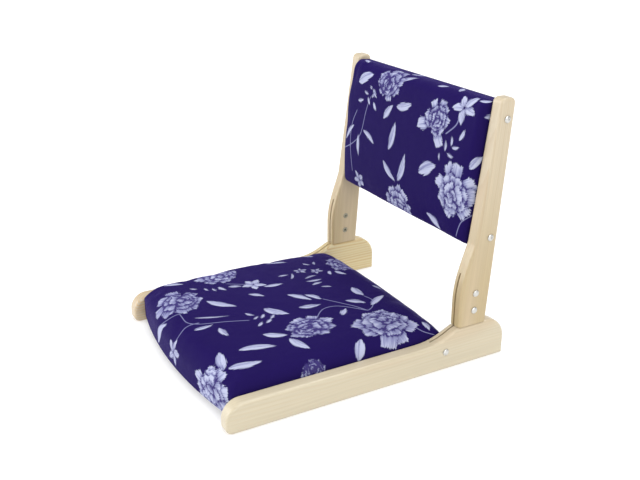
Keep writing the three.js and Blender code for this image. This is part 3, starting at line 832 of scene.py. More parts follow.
def fastener_tree():
    """Sets one fastener at each point, turned to the point's aim and spun about its own axis by chance."""
    tree = bpy.data.node_groups.new("set_fasteners", "GeometryNodeTree")
    for label, kind, default in (
        ("Points", "Geometry", None), ("Fastener", "Object", None), ("Standing Proud", "Float", 0.0),
        ("Most Spin", "Float", math.pi), ("Seed", "Int", 4), ("Finish", "Material", None),
    ):
        socket = tree.interface.new_socket(label, in_out="INPUT", socket_type="NodeSocket" + kind)
        if default is not None:
            socket.default_value = default
    tree.interface.new_socket("Fasteners", in_out="OUTPUT", socket_type="NodeSocketGeometry")
    given = place(tree, "NodeGroupInput").outputs
    aim = place(tree, "GeometryNodeInputNamedAttribute", {"data_type": "FLOAT_VECTOR"}, {"Name": "aim"})
    facing = place(tree, "FunctionNodeAlignRotationToVector", {"axis": "Z"}, {"Vector": aim.outputs[0]})
    spin = place(tree, "FunctionNodeRandomValue", {"data_type": "FLOAT"}, {
        2: 0.0, 3: given["Most Spin"], "Seed": given["Seed"],
    })
    about = place(tree, "FunctionNodeAxisAngleToRotation", None, {
        "Axis": (0, 0, 1), "Angle": spin.outputs[1],
    })
    turned = place(tree, "FunctionNodeRotateRotation", {"rotation_space": "LOCAL"}, {
        0: facing.outputs[0], 1: about.outputs[0],
    })
    lift = place(tree, "ShaderNodeVectorMath", {"operation": "SCALE"}, {
        0: aim.outputs[0], "Scale": given["Standing Proud"],
    })
    raised = place(tree, "GeometryNodeSetPosition", None, {
        "Geometry": given["Points"], "Offset": lift.outputs[0],
    })
    model = place(tree, "GeometryNodeObjectInfo", None, {"Object": given["Fastener"]})
    points = place(tree, "GeometryNodeMeshToPoints", None, {"Mesh": raised.outputs[0]})
    copies = place(tree, "GeometryNodeInstanceOnPoints", None, {
        "Points": points.outputs[0], "Instance": model.outputs["Geometry"], "Rotation": turned.outputs[0],
    })
    real = place(tree, "GeometryNodeRealizeInstances", None, {"Geometry": copies.outputs[0]})
    finished = place(tree, "GeometryNodeSetMaterial", None, {
        "Geometry": real.outputs[0], "Material": given["Finish"],
    })
    place(tree, "NodeGroupOutput", None, {0: finished.outputs[0]})
    return tree


set_fasteners = fastener_tree()


def grow(piece, tree, values):
    """Runs a node tree on a piece with the given named inputs and keeps the plain mesh that it makes."""
    modifier = piece.modifiers.new(tree.name, "NODES")
    modifier.node_group = tree
    for item in tree.interface.items_tree:
        if item.item_type == "SOCKET" and item.in_out == "INPUT" and item.name in values:
            modifier[item.identifier] = values[item.name]
    return settle(piece)


def fasteners(name, model, finish, places, body, nodes, seed=4):
    """One mesh of like fasteners on one body. Each place is a point and the way that the fastener faces."""
    piece = mesh_object(name, [point for point, aim in places], [])
    aims = piece.data.attributes.new("aim", "FLOAT_VECTOR", "POINT")
    aims.data.foreach_set("vector", np.array([aim for point, aim in places], np.float32).ravel())
    grow(piece, set_fasteners, {"Fastener": model, "Finish": finish, "Seed": seed})
    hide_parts(*nodes)
    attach(piece, body)


zinc = plated_metal("dull_zinc", zinc_colour, 0.3, 0.46, 0.25)
# The sleeve nuts' dark metal is painted shade for their sockets.
sleeve_painted_shade = plated_metal("sleeve_painted_shade", sleeve_shade_colour, 0.34, 0.5, 0.25)
blind_bolt = domed_bolt("blind_bolt", shank_length("left_lower_plate_bolt"), False)
driven_bolt = domed_bolt("driven_bolt", shank_length("left_lower_back_bolt"), True)
flush_sleeve = sleeve_nut("flush_sleeve")


def set_across(centres, x, facing):
    """Places for fasteners on both sides. The x is the left side's, and facing is 1 outwards, -1 inwards."""
    return [
        ((side * x, centre[0], centre[1]), (side * facing, 0, 0))
        for hand, side in both_sides for centre in centres
    ]


fasteners("pivot_bolts", blind_bolt, zinc, set_across([pivot], rail_outer + head_gap, 1),
          "seat_frame", on_both_sides("pivot_bolt"))
fasteners("pivot_sleeves", flush_sleeve, sleeve_painted_shade, set_across([pivot], rail_inner, -1),
          "seat_frame", on_both_sides("pivot_sleeve"))
fasteners("plate_bolts", blind_bolt, zinc, set_across(plate_bolt_places, rail_outer + head_gap, 1),
          "back", on_both_sides("lower_plate_bolt", "upper_plate_bolt"), 7)
fasteners("plate_sleeves", flush_sleeve, sleeve_painted_shade, set_across(plate_bolt_places, rail_inner, -1),
          "back", on_both_sides("lower_plate_sleeve", "upper_plate_sleeve"), 9)
fasteners("back_bolts", driven_bolt, zinc, set_across(back_bolt_places, rail_outer + head_gap, 1),
          "back", on_both_sides("lower_back_bolt", "upper_back_bolt"), 11)
for insert in on_both_sides("lower_insert", "upper_insert"):
    dress(insert, zinc)


# The cross battens and their dowels. Two pine battens hold the rails apart, each let in with two fluted
# beech dowels at each end; the front one is bowed like the seat. Their edges are only lightly eased.

batten_round = 1.2 * mm
board_bow = 20 * mm
batten_low, batten_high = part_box("front_batten")
bow_steps = 36
screw_sink = 4.3 * mm
screw_sink_depth = 0.6 * mm
screw_bore = 2.3 * mm
screw_bore_sides = 32
beech_pale = (0.70, 0.53, 0.35, 1)
beech_warm = (0.62, 0.44, 0.27, 1)
beech_fleck = (0.33, 0.19, 0.10, 1)
seat_screws = [f"seat_screw_{number}" for number in range(1, 7)]
screw_places = [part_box(screw) for screw in seat_screws]
screw_points = [((low.x + high.x) / 2, (low.y + high.y) / 2, low.z) for low, high in screw_places]


def bowed_line(half_width, front, bow, pad_half):
    """The bowed front edge, from left to right as seen from above."""
    across = np.linspace(-half_width, half_width, bow_steps + 1)
    return np.column_stack([across, front + bow * (across / pad_half) ** 2])


def bored_for_screws(piece, top):
    """Countersinks and bores a batten for the seat's screws."""
    cutters = []
    for x, y, z in screw_points:
        for radius, high in ((screw_sink, z + screw_sink_depth), (screw_bore, top + overrun)):
            outline = arc((x, y), radius, 0, 360, screw_bore_sides)[:-1]
            cutters.append(straight_prism("screw_bore", outline, z - overrun, high, level_plane))
    return carve(piece, cutters)


pad_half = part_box("seat_cover")[1].x
batten_half = batten_high.x
front_batten_plan = np.vstack([
    bowed_line(batten_half, batten_low.y, board_bow, pad_half),
    [(batten_half, batten_high.y), (-batten_half, batten_high.y)],
])
rear_low, rear_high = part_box("rear_batten")
rear_batten_plan = np.array([
    (-batten_half, rear_low.y), (batten_half, rear_low.y),
    (batten_half, rear_high.y), (-batten_half, rear_high.y),
])
for name, plan, pith, turn in (
    ("front_batten", front_batten_plan, (0.03, 0, -0.09), 90),
    ("rear_batten", rear_batten_plan, (-0.08, 0, 0.11), -90),
):
    batten = rounded_plate(f"{name}_wood", plan, batten_low.z, batten_high.z, batten_round, level_plane)
    bored_for_screws(batten, batten_high.z)
    soften(batten, 0)
    batten.data.materials.append(lacquered_pine(
        f"{name}_pine", {"Pith": pith, "Late Wood Share": 0.6}, (0, 0, math.radians(turn)),
    ))
    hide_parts(name)
    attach(batten, "seat_frame")


def beech():
    """Bare beech: pinkish tan with short dark flecks along the grain, which runs along X in a dowel."""
    material, tree, shader = new_material("dowel_beech")
    here = place(tree, "ShaderNodeTexCoord").outputs["Object"]
    fleck = noise(tree, here, (160, 1900, 1900))
    slow = noise(tree, here, (20, 220, 220))
    wood = blended(tree, ramped(tree, slow, 0.3, 0.7), beech_warm, beech_pale)
    dark = ramped(tree, fleck, 0.58, 0.7, 0.0, 0.7)
    feed(tree, shader, {
        "Base Color": blended(tree, dark, wood, beech_fleck),
        "Roughness": ramped(tree, fleck, 0.3, 0.7, 0.6, 0.75),
        "Normal": bumped(tree, fleck, 0.3, 0.1 * mm),
    })
    return material


dowel_beech = beech()
for dowel in on_both_sides(*dowels):
    dress(dowel, dowel_beech)


# The seat board and its screws. The board is 9 mm plywood with a bowed front, sawn and left bare, and six
# countersunk cross-head screws hold it from below through the battens.

seat_board_low, seat_board_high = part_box("seat_board")
ply_thick = 1.8 * mm
ply_face = (0.62, 0.46, 0.28, 1)
ply_core = (0.48, 0.32, 0.18, 1)
ply_glue = (0.20, 0.12, 0.07, 1)
screw_head_radius = 4 * mm
screw_radius = 2 * mm
screw_drop = 2.4 * mm
screw_length = screw_places[0][1].z - screw_places[0][0].z
screw_tip_radius = 0.35 * mm
screw_tip_length = 0.8 * mm
screw_first_turn = 2.2 * mm
screw_plain = 4 * mm         # the unthreaded neck
head_break = 0.1 * mm
head_edge = 0.2 * mm
thread_pitch = 1.6 * mm
thread_depth = 0.45 * mm
thread_crest = 0.4           # where in its pitch a thread is highest and where it has fallen
thread_end = 0.7
cross_arm = 2.3 * mm
cross_half = 0.45 * mm
cross_depth = 1.5 * mm
ply_under = 0.001 * mm       # the face's own plane lies just inside the first layer


def plywood(name, bottom):
    """Plywood: crossed layers that show on the sawn edge, glue lines between them and a peeled face grain."""
    material, tree, shader = new_material(name)
    here = place(tree, "ShaderNodeTexCoord").outputs["Object"]
    height = place(tree, "ShaderNodeSeparateXYZ", None, {0: here}).outputs[2]
    layer = maths(tree, "DIVIDE", maths(tree, "SUBTRACT", height, bottom), ply_thick)
    odd = maths(tree, "FLOORED_MODULO", maths(tree, "FLOOR", layer), 2.0)
    along = noise(tree, here, (9, 420, 900), 3.0)
    cross = noise(tree, here, (420, 9, 900), 3.0)
    grain = place(tree, "ShaderNodeMix", {"data_type": "FLOAT"}, {0: odd, 2: along, 3: cross}).outputs[0]
    bands = place(tree, "ShaderNodeTexWave", {"wave_type": "BANDS", "bands_direction": "Y"}, {
        "Vector": here, "Scale": 14.0, "Distortion": 9.0, "Detail": 2.0, "Detail Scale": 0.6,
    }).outputs["Fac"]
    wood = blended(tree, ramped(tree, grain, 0.3, 0.7), ply_core, ply_face)
    wood = blended(tree, maths(tree, "MULTIPLY", bands, 0.35), wood, ply_core)
    edge = maths(tree, "ABSOLUTE", maths(tree, "SUBTRACT", maths(tree, "FRACT", layer), 0.5))
    glue = ramped(tree, edge, 0.44, 0.49, 0.0, 0.6)
    feed(tree, shader, {
        "Base Color": blended(tree, glue, wood, ply_glue),
        "Roughness": ramped(tree, grain, 0.2, 0.8, 0.68, 0.82),
        "Normal": bumped(tree, grain, 0.4, 0.2 * mm),
    })
    return material


dress("seat_board", plywood("seat_plywood", seat_board_low.z - ply_under))


def cross_head_screw():
    """A wood screw that points down from its head at zero, with a turned thread and a cross recess."""
    core = screw_radius - thread_depth
    profile = [(0, -screw_length), (screw_tip_radius, -screw_length + screw_tip_length)]
    height = -screw_length + screw_first_turn
    while height < -screw_drop - screw_plain:
        profile += [(core, height), (screw_radius, height + thread_pitch * thread_crest)]
        profile.append((core, height + thread_pitch * thread_end))
        height += thread_pitch
    rim = screw_head_radius - head_break
    profile += [(core, height), (core, -screw_drop), (rim, -head_edge), (rim, 0), (0, 0)]
    piece = turned_piece("cross_screw", profile)
    arms = []
    for a, b in ((cross_arm, cross_half), (cross_half, cross_arm)):
        outline = [(-a, -b), (a, -b), (a, b), (-a, b)]
        arms.append(straight_prism("recess_arm", outline, -cross_depth, overrun, level_plane))
    carve(piece, arms)
    return hidden_model(soften(piece, 0))


fasteners("seat_screws", cross_head_screw(), zinc, [(point, (0, 0, -1)) for point in screw_points],
          "seat_frame", seat_screws, 3)


# The seat pad. A crowned block of foam under printed cotton sateen that is drawn over the board, tucked down
# beside the rails and round the bowed front, turned under the front batten and stapled there.

seat_low, seat_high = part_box("seat_cover")
cloth_thick = 1 * mm
clear = 0.3 * mm
seat_rim = 44 * mm
seat_rise = 22 * mm
seat_crown_across = 5 * mm
seat_crown_along = 3 * mm
seat_far_fall = 7 * mm
seat_far_full = 13 * mm      # how much fuller the middle of the rear edge is than its ends
seat_rolls = {"side": 18 * mm, "front": 40 * mm, "rear": 34 * mm}
seat_hem = seat_low.z
flap_depth = 48 * mm
flap_end = rail_front + flap_depth
hem_hold = 7 * mm            # above the hem, where the cloth is fixed
rim_hold = 1 * mm            # below the rim
free_depth = 30 * mm         # of the front, where the cloth is free down to the hem
free_inset = 12 * mm         # from the pad's sides
side_room = 0.4 * mm
side_clear = 0.02 * mm
seat_far_room = 0.5 * mm
cloth_step = 6.2 * mm
swell_start = 2.6 * mm       # how far inside the finished pad the cloth starts to swell
swell_most = 4.2 * mm
swell_pressure = 1.5
swell_frames = 20
cloth_slack = 0.05
foam_gives = 0.8 * mm
slide_most = 1.5 * mm
fold_turn = 50               # degrees; a sharper fold of the cloth stays an edge
roll_samples = 400
cloth_levels = 2
sateen_ground = (0.0112, 0.0054, 0.065, 1)
ink_dark = (0.040, 0.031, 0.13, 1)
ink_middle = (0.19, 0.198, 0.348, 1)
ink_light = (0.385, 0.408, 0.55, 1)
ink_line = (0.035, 0.025, 0.13, 1)


def roll_over(depth, rise):
    """A rolled edge in even steps of cloth: how far in, how high from 0 to 1, and the cloth left above."""
    turn = np.linspace(0, math.pi / 2, roll_samples)
    run = np.concatenate([[0], np.cumsum(np.hypot(
        depth * np.diff(np.cos(turn)), rise * np.diff(np.sin(turn)),
    ))])
    count = max(2, round(run[-1] / cloth_step))
    even = np.interp(np.linspace(0, run[-1], count + 1), run, turn)
    left = run[-1] - np.linspace(0, run[-1], count + 1)
    return depth * (1 - np.cos(even)), np.sin(even), left


class Pad:
    """Cloth over a pad, as a grid with skirts. Its own axes are across, towards the far edge, and out."""

    def __init__(self, half, near, far, rim, rise, crown_across, crown_along, rolls, hem,
                 bow=0.0, far_fall=0.0, far_full=0.0):
        side_in, side_lift, side_left = roll_over(rolls["side"], rise + crown_across / 2)
        near_in, near_lift, near_left = roll_over(rolls["front"], rise + crown_along / 2)
        far_in, far_lift, far_left = roll_over(rolls["rear"], rise + crown_along / 2)
        count = round(2 * (half - rolls["side"]) / cloth_step)
        flat = np.linspace(-half + rolls["side"], half - rolls["side"], count + 1)[1:-1]
        across = np.concatenate([-half + side_in, flat, (half - side_in)[::-1]])
        lift_across = np.concatenate([side_lift, np.ones(len(flat)), side_lift[::-1]])
        spare = np.concatenate([-side_left, np.zeros(len(flat)), side_left[::-1]])
        held = np.clip(across, -half + rolls["side"], half - rolls["side"])
        count = round((far - near - rolls["front"] - rolls["rear"]) / cloth_step)
        share = np.linspace(0, 1, count + 1)[1:-1]
        front = near + bow * (across / half) ** 2
        rows = [front + step for step in near_in]
        rows += [front + rolls["front"] + s * (far - rolls["rear"] - front - rolls["front"]) for s in share]
        rows += [np.full(len(across), far - step) for step in far_in[::-1]]
        y = np.array(rows)
        x = np.tile(across, (len(y), 1))
        lift_along = np.concatenate([near_lift, np.ones(len(share)), far_lift[::-1]])[:, None]
        along = 2 * (y - near) / (far - near) - 1
        crown = crown_across * (1 - (x / half) ** 2) + crown_along * (1 - np.clip(along, -1, 1) ** 2)
        crown -= far_fall * np.clip(along, 0, 1) ** 2
        crown += far_full * (1 - (x / half) ** 4) * np.clip(along, 0, 1) ** 4
        z = rim + (rise + crown) * lift_across[None, :] * lift_along
        more = np.concatenate([near_left, np.zeros(len(share)), -far_left[::-1]])[:, None]
        flat_y = np.clip(y, front[None, :] + rolls["front"], far - rolls["rear"])
        self.points = [np.column_stack([x.ravel(), y.ravel(), z.ravel()])]
        self.cloth = [np.column_stack([np.tile(held + spare, (len(y), 1)).ravel(), (more - flat_y).ravel()])]
        self.faces = []
        wide, high = len(across), len(y)
        for j in range(high - 1):
            for i in range(wide - 1):
                a = j * wide + i
                self.faces.append((a, a + 1, a + wide + 1, a + wide))
        loop = list(range(wide)) + [j * wide + wide - 1 for j in range(1, high)]
        loop += [(high - 1) * wide + i for i in range(wide - 2, -1, -1)]
        loop += [j * wide for j in range(high - 2, 0, -1)]
        self.skirt(loop, wide, high, rim, hem)

    def skirt(self, loop, wide, high, rim, hem):
        """Runs the cloth down all round from the rim to the hem."""
        top, cloth = self.points[0], self.cloth[0]
        out = np.zeros((len(loop), 2))
        out[:wide, 1] = 1
        out[wide:wide + high - 1, 0] = 1
        out[wide + high - 2:2 * wide + high - 2] = (0, -1)
        out[2 * wide + high - 2:, 0] = -1
        steps = max(2, round((rim - hem) / cloth_step))
        above = loop
        for level in np.linspace(rim, hem, steps + 1)[1:]:
            ring = top[loop].copy()
            ring[:, 2] = level
            start = sum(len(block) for block in self.points)
            here = list(range(start, start + len(loop)))
            self.points.append(ring)
            self.cloth.append(cloth[loop] + out * (rim - level))
            for k in range(len(loop)):
                follow = (k + 1) % len(loop)
                self.faces.append((here[k], here[follow], above[follow], above[k]))
            above = here

    def made(self, name, set_in, held):
        """The cloth as a mesh that keeps its flat places, open underneath. Held points don't swell."""
        points = np.vstack(self.points)
        cloth = np.vstack(self.cloth)
        piece = mesh_object(name, [set_in(*point) for point in points], self.faces)
        places = np.column_stack([cloth, np.zeros(len(cloth))])
        flat = piece.data.attributes.new("cloth", "FLOAT_VECTOR", "POINT")
        flat.data.foreach_set("vector", places.astype(np.float32).ravel())
        group = piece.vertex_groups.new(name="held")
        for index, point in enumerate(points):
            weight = held(*point)
            if weight > 0:
                group.add([index], weight, "REPLACE")
        return piece


def mesh_points(piece):
    """The places of the mesh's points."""
    flat = np.empty(len(piece.data.vertices) * 3, np.float32)
    piece.data.vertices.foreach_get("co", flat)
    return flat.reshape(-1, 3).astype(float)


def move_points(piece, points):
    """Puts the mesh's points in new places."""
    piece.data.vertices.foreach_set("co", points.astype(np.float32).ravel())
    piece.data.update()


def swollen(piece):
    """Lets the slack cloth swell over its foam, which hardly gives. No point moves out past the most."""
    start = mesh_points(piece)
    normals = np.array([vertex.normal[:] for vertex in piece.data.vertices])
    scene = bpy.context.scene
    sateen = piece.modifiers.new("sateen", "CLOTH")
    sateen.settings.quality = 6
    sateen.settings.mass = 0.3
    sateen.settings.tension_stiffness = 18
    sateen.settings.compression_stiffness = 14
    sateen.settings.shear_stiffness = 6
    sateen.settings.bending_stiffness = 0.4
    sateen.settings.shrink_min = -cloth_slack
    sateen.settings.use_pressure = True
    sateen.settings.uniform_pressure_force = swell_pressure
    sateen.settings.vertex_group_mass = "held"
    sateen.settings.effector_weights.gravity = 0
    sateen.collision_settings.use_collision = False
    sateen.point_cache.frame_start = 1
    sateen.point_cache.frame_end = swell_frames
    for number in range(1, swell_frames + 1):
        scene.frame_set(number)
        bpy.context.view_layer.update()
    settle(piece)
    moved = mesh_points(piece) - start
    out = (moved * normals).sum(1)
    slid = moved - out[:, None] * normals
    kept = np.where(out > 0, swell_most, foam_gives) * np.tanh(out / swell_most / 2)
    slide = np.linalg.norm(slid, axis=1)
    slid *= (slide_most / np.maximum(slide, slide_most))[:, None]
    move_points(piece, start + kept[:, None] * normals + slid)
    scene.frame_set(1)
    return piece


def finer(piece, levels):
    """Smooths the piece by subdivision."""
    smoothing = piece.modifiers.new("finer", "SUBSURF")
    smoothing.levels = levels
    smoothing.render_levels = levels
    settle(piece)


def closed_below(piece):
    """Closes the open underside with one face."""
    mesh = bmesh.new()
    mesh.from_mesh(piece.data)
    edges = [edge for edge in mesh.edges if edge.is_boundary]
    bmesh.ops.contextual_create(mesh, geom=edges)
    bmesh.ops.recalc_face_normals(mesh, faces=mesh.faces)
    mesh.to_mesh(piece.data)
    mesh.free()


def block(name, low, high, set_in):
    """A box-shaped cutter in the pad's own axes."""
    corners = [(low[0], low[1]), (high[0], low[1]), (high[0], high[1]), (low[0], high[1])]
    piece = straight_prism(name, corners, low[2], high[2], level_plane)
    move_points(piece, np.array([set_in(*point) for point in mesh_points(piece)]))
    return piece


def keep_cloth_places(piece, pattern):
    """Gives each point of the cut piece the flat cloth place of the nearest point of the uncut cloth."""
    tree, places = pattern
    flat = piece.data.attributes.get("cloth") or piece.data.attributes.new("cloth", "FLOAT_VECTOR", "POINT")
    nearest = [places[tree.find(vertex.co)[1]] for vertex in piece.data.vertices]
    flat.data.foreach_set("vector", np.array(nearest, np.float32).ravel())


def cloth_places(piece):
    """The flat cloth place of each point, as numbers and as a search tree."""
    flat = np.empty(len(piece.data.vertices) * 3, np.float32)
    piece.data.attributes["cloth"].data.foreach_get("vector", flat)
    tree = KDTree(len(piece.data.vertices))
    for vertex in piece.data.vertices:
        tree.insert(vertex.co, vertex.index)
    tree.balance()
    return tree, flat.reshape(-1, 3)


def on_seat(x, y, z):
    """The seat pad's axes are the chair's own."""
    return (x, y, z)


def held_on_seat(x, y, z):
    """The cloth is fixed at the hem, and beside the rails and at the rear below the rim."""
    at_front = y < seat_low.y + free_depth
    if z <= seat_hem + hem_hold:
        return 1.0
    return 0.0 if at_front and abs(x) < pad_half - free_inset else float(z < seat_rim - rim_hold)


def closed_cloth(piece, cutters):
    """Makes the cloth fine, keeps it between the posts, closes it below and hollows it by the cutters."""
    finer(piece, cloth_levels)
    points = mesh_points(piece)
    points[:, 0] = np.clip(points[:, 0], side_clear - pad_half, pad_half - side_clear)
    move_points(piece, points)
    pattern = cloth_places(piece)
    closed_below(piece)
    if cutters:
        carve(piece, cutters)
    keep_cloth_places(piece, pattern)
    piece.data.shade_smooth()
    piece.data.set_sharp_from_angle(angle=math.radians(fold_turn))
    return piece


seat_pad_form = Pad(
    half=pad_half - side_room,
    near=seat_low.y + swell_start, far=seat_high.y - seat_far_room,
    rim=seat_rim, rise=seat_rise - swell_start,
    crown_across=seat_crown_across, crown_along=seat_crown_along,
    rolls=seat_rolls, hem=seat_hem, bow=board_bow, far_fall=seat_far_fall, far_full=seat_far_full,
)
wall_gap = 2 * clear
room_half = pad_half - cloth_thick
past_sides = pad_half + overrun


def bowed_room(name, half, front, rear, low, high):
    """A cutter with the seat's bowed front, for what lies inside the pad."""
    line = bowed_line(half, front, board_bow, pad_half)
    return straight_prism(name, np.vstack([line, [(half, rear), (-half, rear)]]), low, high, level_plane)


board_room = bowed_room(
    "board_room", room_half, seat_board_low.y - wall_gap, seat_high.y - cloth_thick,
    seat_board_low.z - overrun, seat_board_high.z + clear,
)
batten_room = bowed_room(
    "batten_room", past_sides, batten_low.y - wall_gap, batten_high.y,
    seat_hem + cloth_thick, seat_board_low.z + clear,
)
free_room = block(
    "free_room", (-past_sides, flap_end, seat_hem - overrun),
    (past_sides, seat_high.y + overrun, seat_board_low.z + clear), on_seat,
)
seat_cloth = swollen(seat_pad_form.made("seat_pad", on_seat, held_on_seat))
seat_pad = closed_cloth(seat_cloth, [free_room, batten_room, board_room])


# The print is drawn in mm of flat cloth.

shadow_reach = 6.5           # how far one petal darkens another that it lies on
shadow_depth = 0.7
unprinted = 9.0              # a line further off than this doesn't show
stroke_apart = 3.7           # keeps the brush marks of two strokes unlike
leaf_bend = 0.05
leaf_powers = (0.85, 0.8)    # how near the tip a leaf is widest, and how blunt its ends are
vein_run = (0.06, 0.8)       # of the leaf's length
vein_inset = 0.3
stem_width = 1.5
stem_steps = 14
petal_foot = 0.55            # the share of its width that a petal has at its foot
petal_gain = 0.6             # and what it gains by its tip
leaflet_least = 4.6          # the width of a sprig's leaflet
leaflet_share = 0.36         # of its length
star_petals = 5

# The waves round a petal's rim: how many there are, how high, and how far they shift with each stroke.
ruffles = ((5, 1.0, 1.0), (9, 0.5, 2.1), (23, 0.5, 1.3), (31, 0.5, 2.9))


class Print:
    """A free floral print of peonies, starry flowers, leaves and stems, worked out at flat places in mm."""

    def __init__(self, flat):
        self.flat = flat[:, :2] * 1000
        count = len(flat)
        self.edge = np.full(count, -unprinted)  # how far inside the inked shapes
        self.line = np.full(count, unprinted)   # to one side or the other of the nearest drawn line
        self.line_near = np.full(count, unprinted)
        self.stem = np.full(count, unprinted)
        self.stem_near = np.full(count, unprinted)
        self.tone = np.zeros(count)
        self.brush = np.zeros((count, 3))       # across and along the brush stroke, and which stroke
        self.strokes = 0

    def around(self, middle, reach, stretch=(1, 1)):
        """The points near a place, and how they lie from it."""
        away = (self.flat - middle) / stretch
        near = np.nonzero((np.abs(away) < reach).all(1))[0]
        return near, away[near]

    def stamp(self, near, depth, tone, across, along):
        """Lays one stroke of ink over what is there."""
        self.strokes += 1
        over = depth > 0
        in_shadow = ~over & (self.edge[near] > 0) & (depth > -shadow_reach)
        self.tone[near[in_shadow]] -= shadow_depth * (1 + depth[in_shadow] / shadow_reach) ** 2
        kept = over | (self.edge[near] < depth)
        self.tone[near[kept]] = tone[kept]
        stroke = np.full(len(along), self.strokes * stroke_apart)
        self.brush[near[kept]] = np.column_stack([across, along, stroke])[kept]
        closer = over | (np.abs(depth) < self.line_near[near])
        self.line[near[closer]] = depth[closer]
        self.line_near[near[closer]] = np.abs(depth[closer])
        self.edge[near] = np.maximum(self.edge[near], depth)

    def petal(self, middle, base, turn, length, width, tones, ruffle, stretch=(1, 1)):
        """A rounded petal that widens to a ruffled tip, and starts at its base, away from the middle."""
        heading = np.array([math.cos(turn), math.sin(turn)])
        near, away = self.around(middle, base + length * 1.3, stretch)
        along = away @ heading - base
        across = away @ np.array([-heading[1], heading[0]])
        share = np.clip(along / length, 0, 1.2)
        x = along / (length / 2) - 1
        y = across / (width / 2) / (petal_foot + petal_gain * share)
        turned = np.arctan2(y, x)
        waves = sum(high * np.cos(count * turned + shift * self.strokes) for count, high, shift in ruffles)
        rim = 1 + ruffle * waves * np.clip(x + 0.4, 0, 1)
        depth = (rim - np.hypot(x, y)) * min(length, width) / 2
        tone = tones[0] + (tones[1] - tones[0]) * np.clip(share, 0, 1)
        self.stamp(near, depth, tone, across / (width / 2), along / length)

    def leaf(self, base, tip, width, bend=leaf_bend, vein=True, tones=(0.66, 0.95)):
        """A pointed leaf from base to tip, lighter on one side of its vein."""
        base, tip = np.array(base, float), np.array(tip, float)
        length = np.linalg.norm(tip - base)
        heading = (tip - base) / length
        near, away = self.around((base + tip) / 2, length * 0.65 + width)
        along = away @ heading + length / 2
        share = along / length
        held = np.clip(share, 0, 1)
        bow = bend * length * np.sin(math.pi * held) - bend * length / 2
        across = away @ np.array([-heading[1], heading[0]]) - bow
        half = width / 2 * np.sin(math.pi * held ** leaf_powers[0]) ** leaf_powers[1]
        depth = half - np.abs(across)
        outside = np.hypot(np.where(share < 0, along, along - length), across)
        depth = np.where((share < 0) | (share > 1), -outside, depth * 0.9)
        tone = np.where(across > 0, tones[1], tones[0]) + 0.1 * held
        self.stamp(near, depth, tone, across / (width / 2), share)
        if vein:
            inside = (depth > vein_inset) & (share > vein_run[0]) & (share < vein_run[1])
            inside &= np.abs(across) < self.line_near[near]
            self.line[near[inside]] = across[inside]
            self.line_near[near[inside]] = np.abs(across[inside])

    def leaves(self, *rows):
        """Leaves, each given by its base, tip and width, that bend one way or the other by their places."""
        for base, tip, width in rows:
            self.leaf(base, tip, width, bend=leaf_bend if (base[0] + tip[1]) % 4 < 2 else -leaf_bend)

    def sprig(self, *leaves):
        """A few small leaflets, each given by its base and tip."""
        for base, tip in leaves:
            width = max(leaflet_least, leaflet_share * math.dist(base, tip))
            self.leaf(base, tip, width, vein=False, tones=(0.75, 0.9))

    def run(self, *bends, width=stem_width):
        """A stem through a few places."""
        ends = [np.array(bend, float) for bend in bends]
        path = [ends[0]]
        for k in range(len(ends) - 1):
            before = ends[max(k - 1, 0)]
            after = ends[min(k + 2, len(ends) - 1)]
            pull = (ends[k + 1] - before) / 6, (after - ends[k]) / 6
            path.extend(bezier(ends[k], ends[k] + pull[0], ends[k + 1] - pull[1], ends[k + 1], stem_steps))
        path = np.array(path)
        middle = (path.min(0) + path.max(0)) / 2
        near, away = self.around(middle, np.abs(path - middle).max() + 4)
        here = away + middle
        best = np.full(len(near), unprinted)
        side = np.full(len(near), unprinted)
        for start, end in zip(path[:-1], path[1:]):
            step = end - start
            length = np.linalg.norm(step)
            from_start = here - start
            along = np.clip(from_start @ step / length ** 2, 0, 1)
            gap = np.linalg.norm(from_start - along[:, None] * step, axis=1)
            cross = (step[0] * from_start[:, 1] - step[1] * from_start[:, 0]) / length
            closer = gap < best
            best[closer] = gap[closer]
            side[closer] = (np.sign(cross) * gap)[closer]
        closer = best < self.stem_near[near]
        self.stem[near[closer]] = side[closer] * stem_width / width
        self.stem_near[near[closer]] = best[closer]

    def peony(self, a, b, across, along, light=0.0, lean=(0.0, 0.0), seed=1):
        """A full peony seen from above: two ragged outer rings and a cupped heart that leans to one side."""
        reach = (across + along) / 4
        stretch = (across / 2 / reach, along / 2 / reach)
        chance = np.random.default_rng(seed)
        middle = np.array([a, b], float)
        rings = (
            (8, 0.24, 0.80, 0.68, (0.15, 1.0), 0.09, 0.0),
            (6, 0.12, 0.60, 0.70, (0.05, 0.95), 0.09, 0.5),
            (3, -0.02, 0.48, 0.72, (0.10, 1.05), 0.10, 1.0),
            (2, -0.08, 0.30, 0.44, (0.0, 0.9), 0.08, 1.4),
        )
        for count, base, length, width, tones, ruffle, shift in rings:
            heart = middle + np.array(lean) * reach * shift
            first = chance.uniform(0, 2 * math.pi)
            order = chance.permutation(count)
            for k in order:
                angle = first + 2 * math.pi * (k + chance.uniform(-0.22, 0.22)) / count
                long = length * reach * chance.uniform(0.88, 1.1)
                lighter = light + chance.uniform(-0.1, 0.08)
                wide = width * reach * chance.uniform(0.9, 1.15)
                shades = (tones[0] + lighter, tones[1] + lighter)
                self.petal(heart, base * reach, angle, long, wide, shades, ruffle, stretch)

    def star(self, a, b, across, turn=0.0, seed=1):
        """An open flower of a few narrow petals."""
        chance = np.random.default_rng(seed)
        middle = np.array([a, b], float)
        for k in range(star_petals):
            angle = turn + 2 * math.pi * (k + chance.uniform(-0.12, 0.12)) / star_petals
            heading = np.array([math.cos(angle), math.sin(angle)])
            reach = across / 2 * chance.uniform(0.88, 1.12)
            self.leaf(middle + heading * 0.06 * reach, middle + heading * reach, 0.27 * across,
                      bend=chance.uniform(-leaf_bend, leaf_bend), tones=(0.72, 0.92))

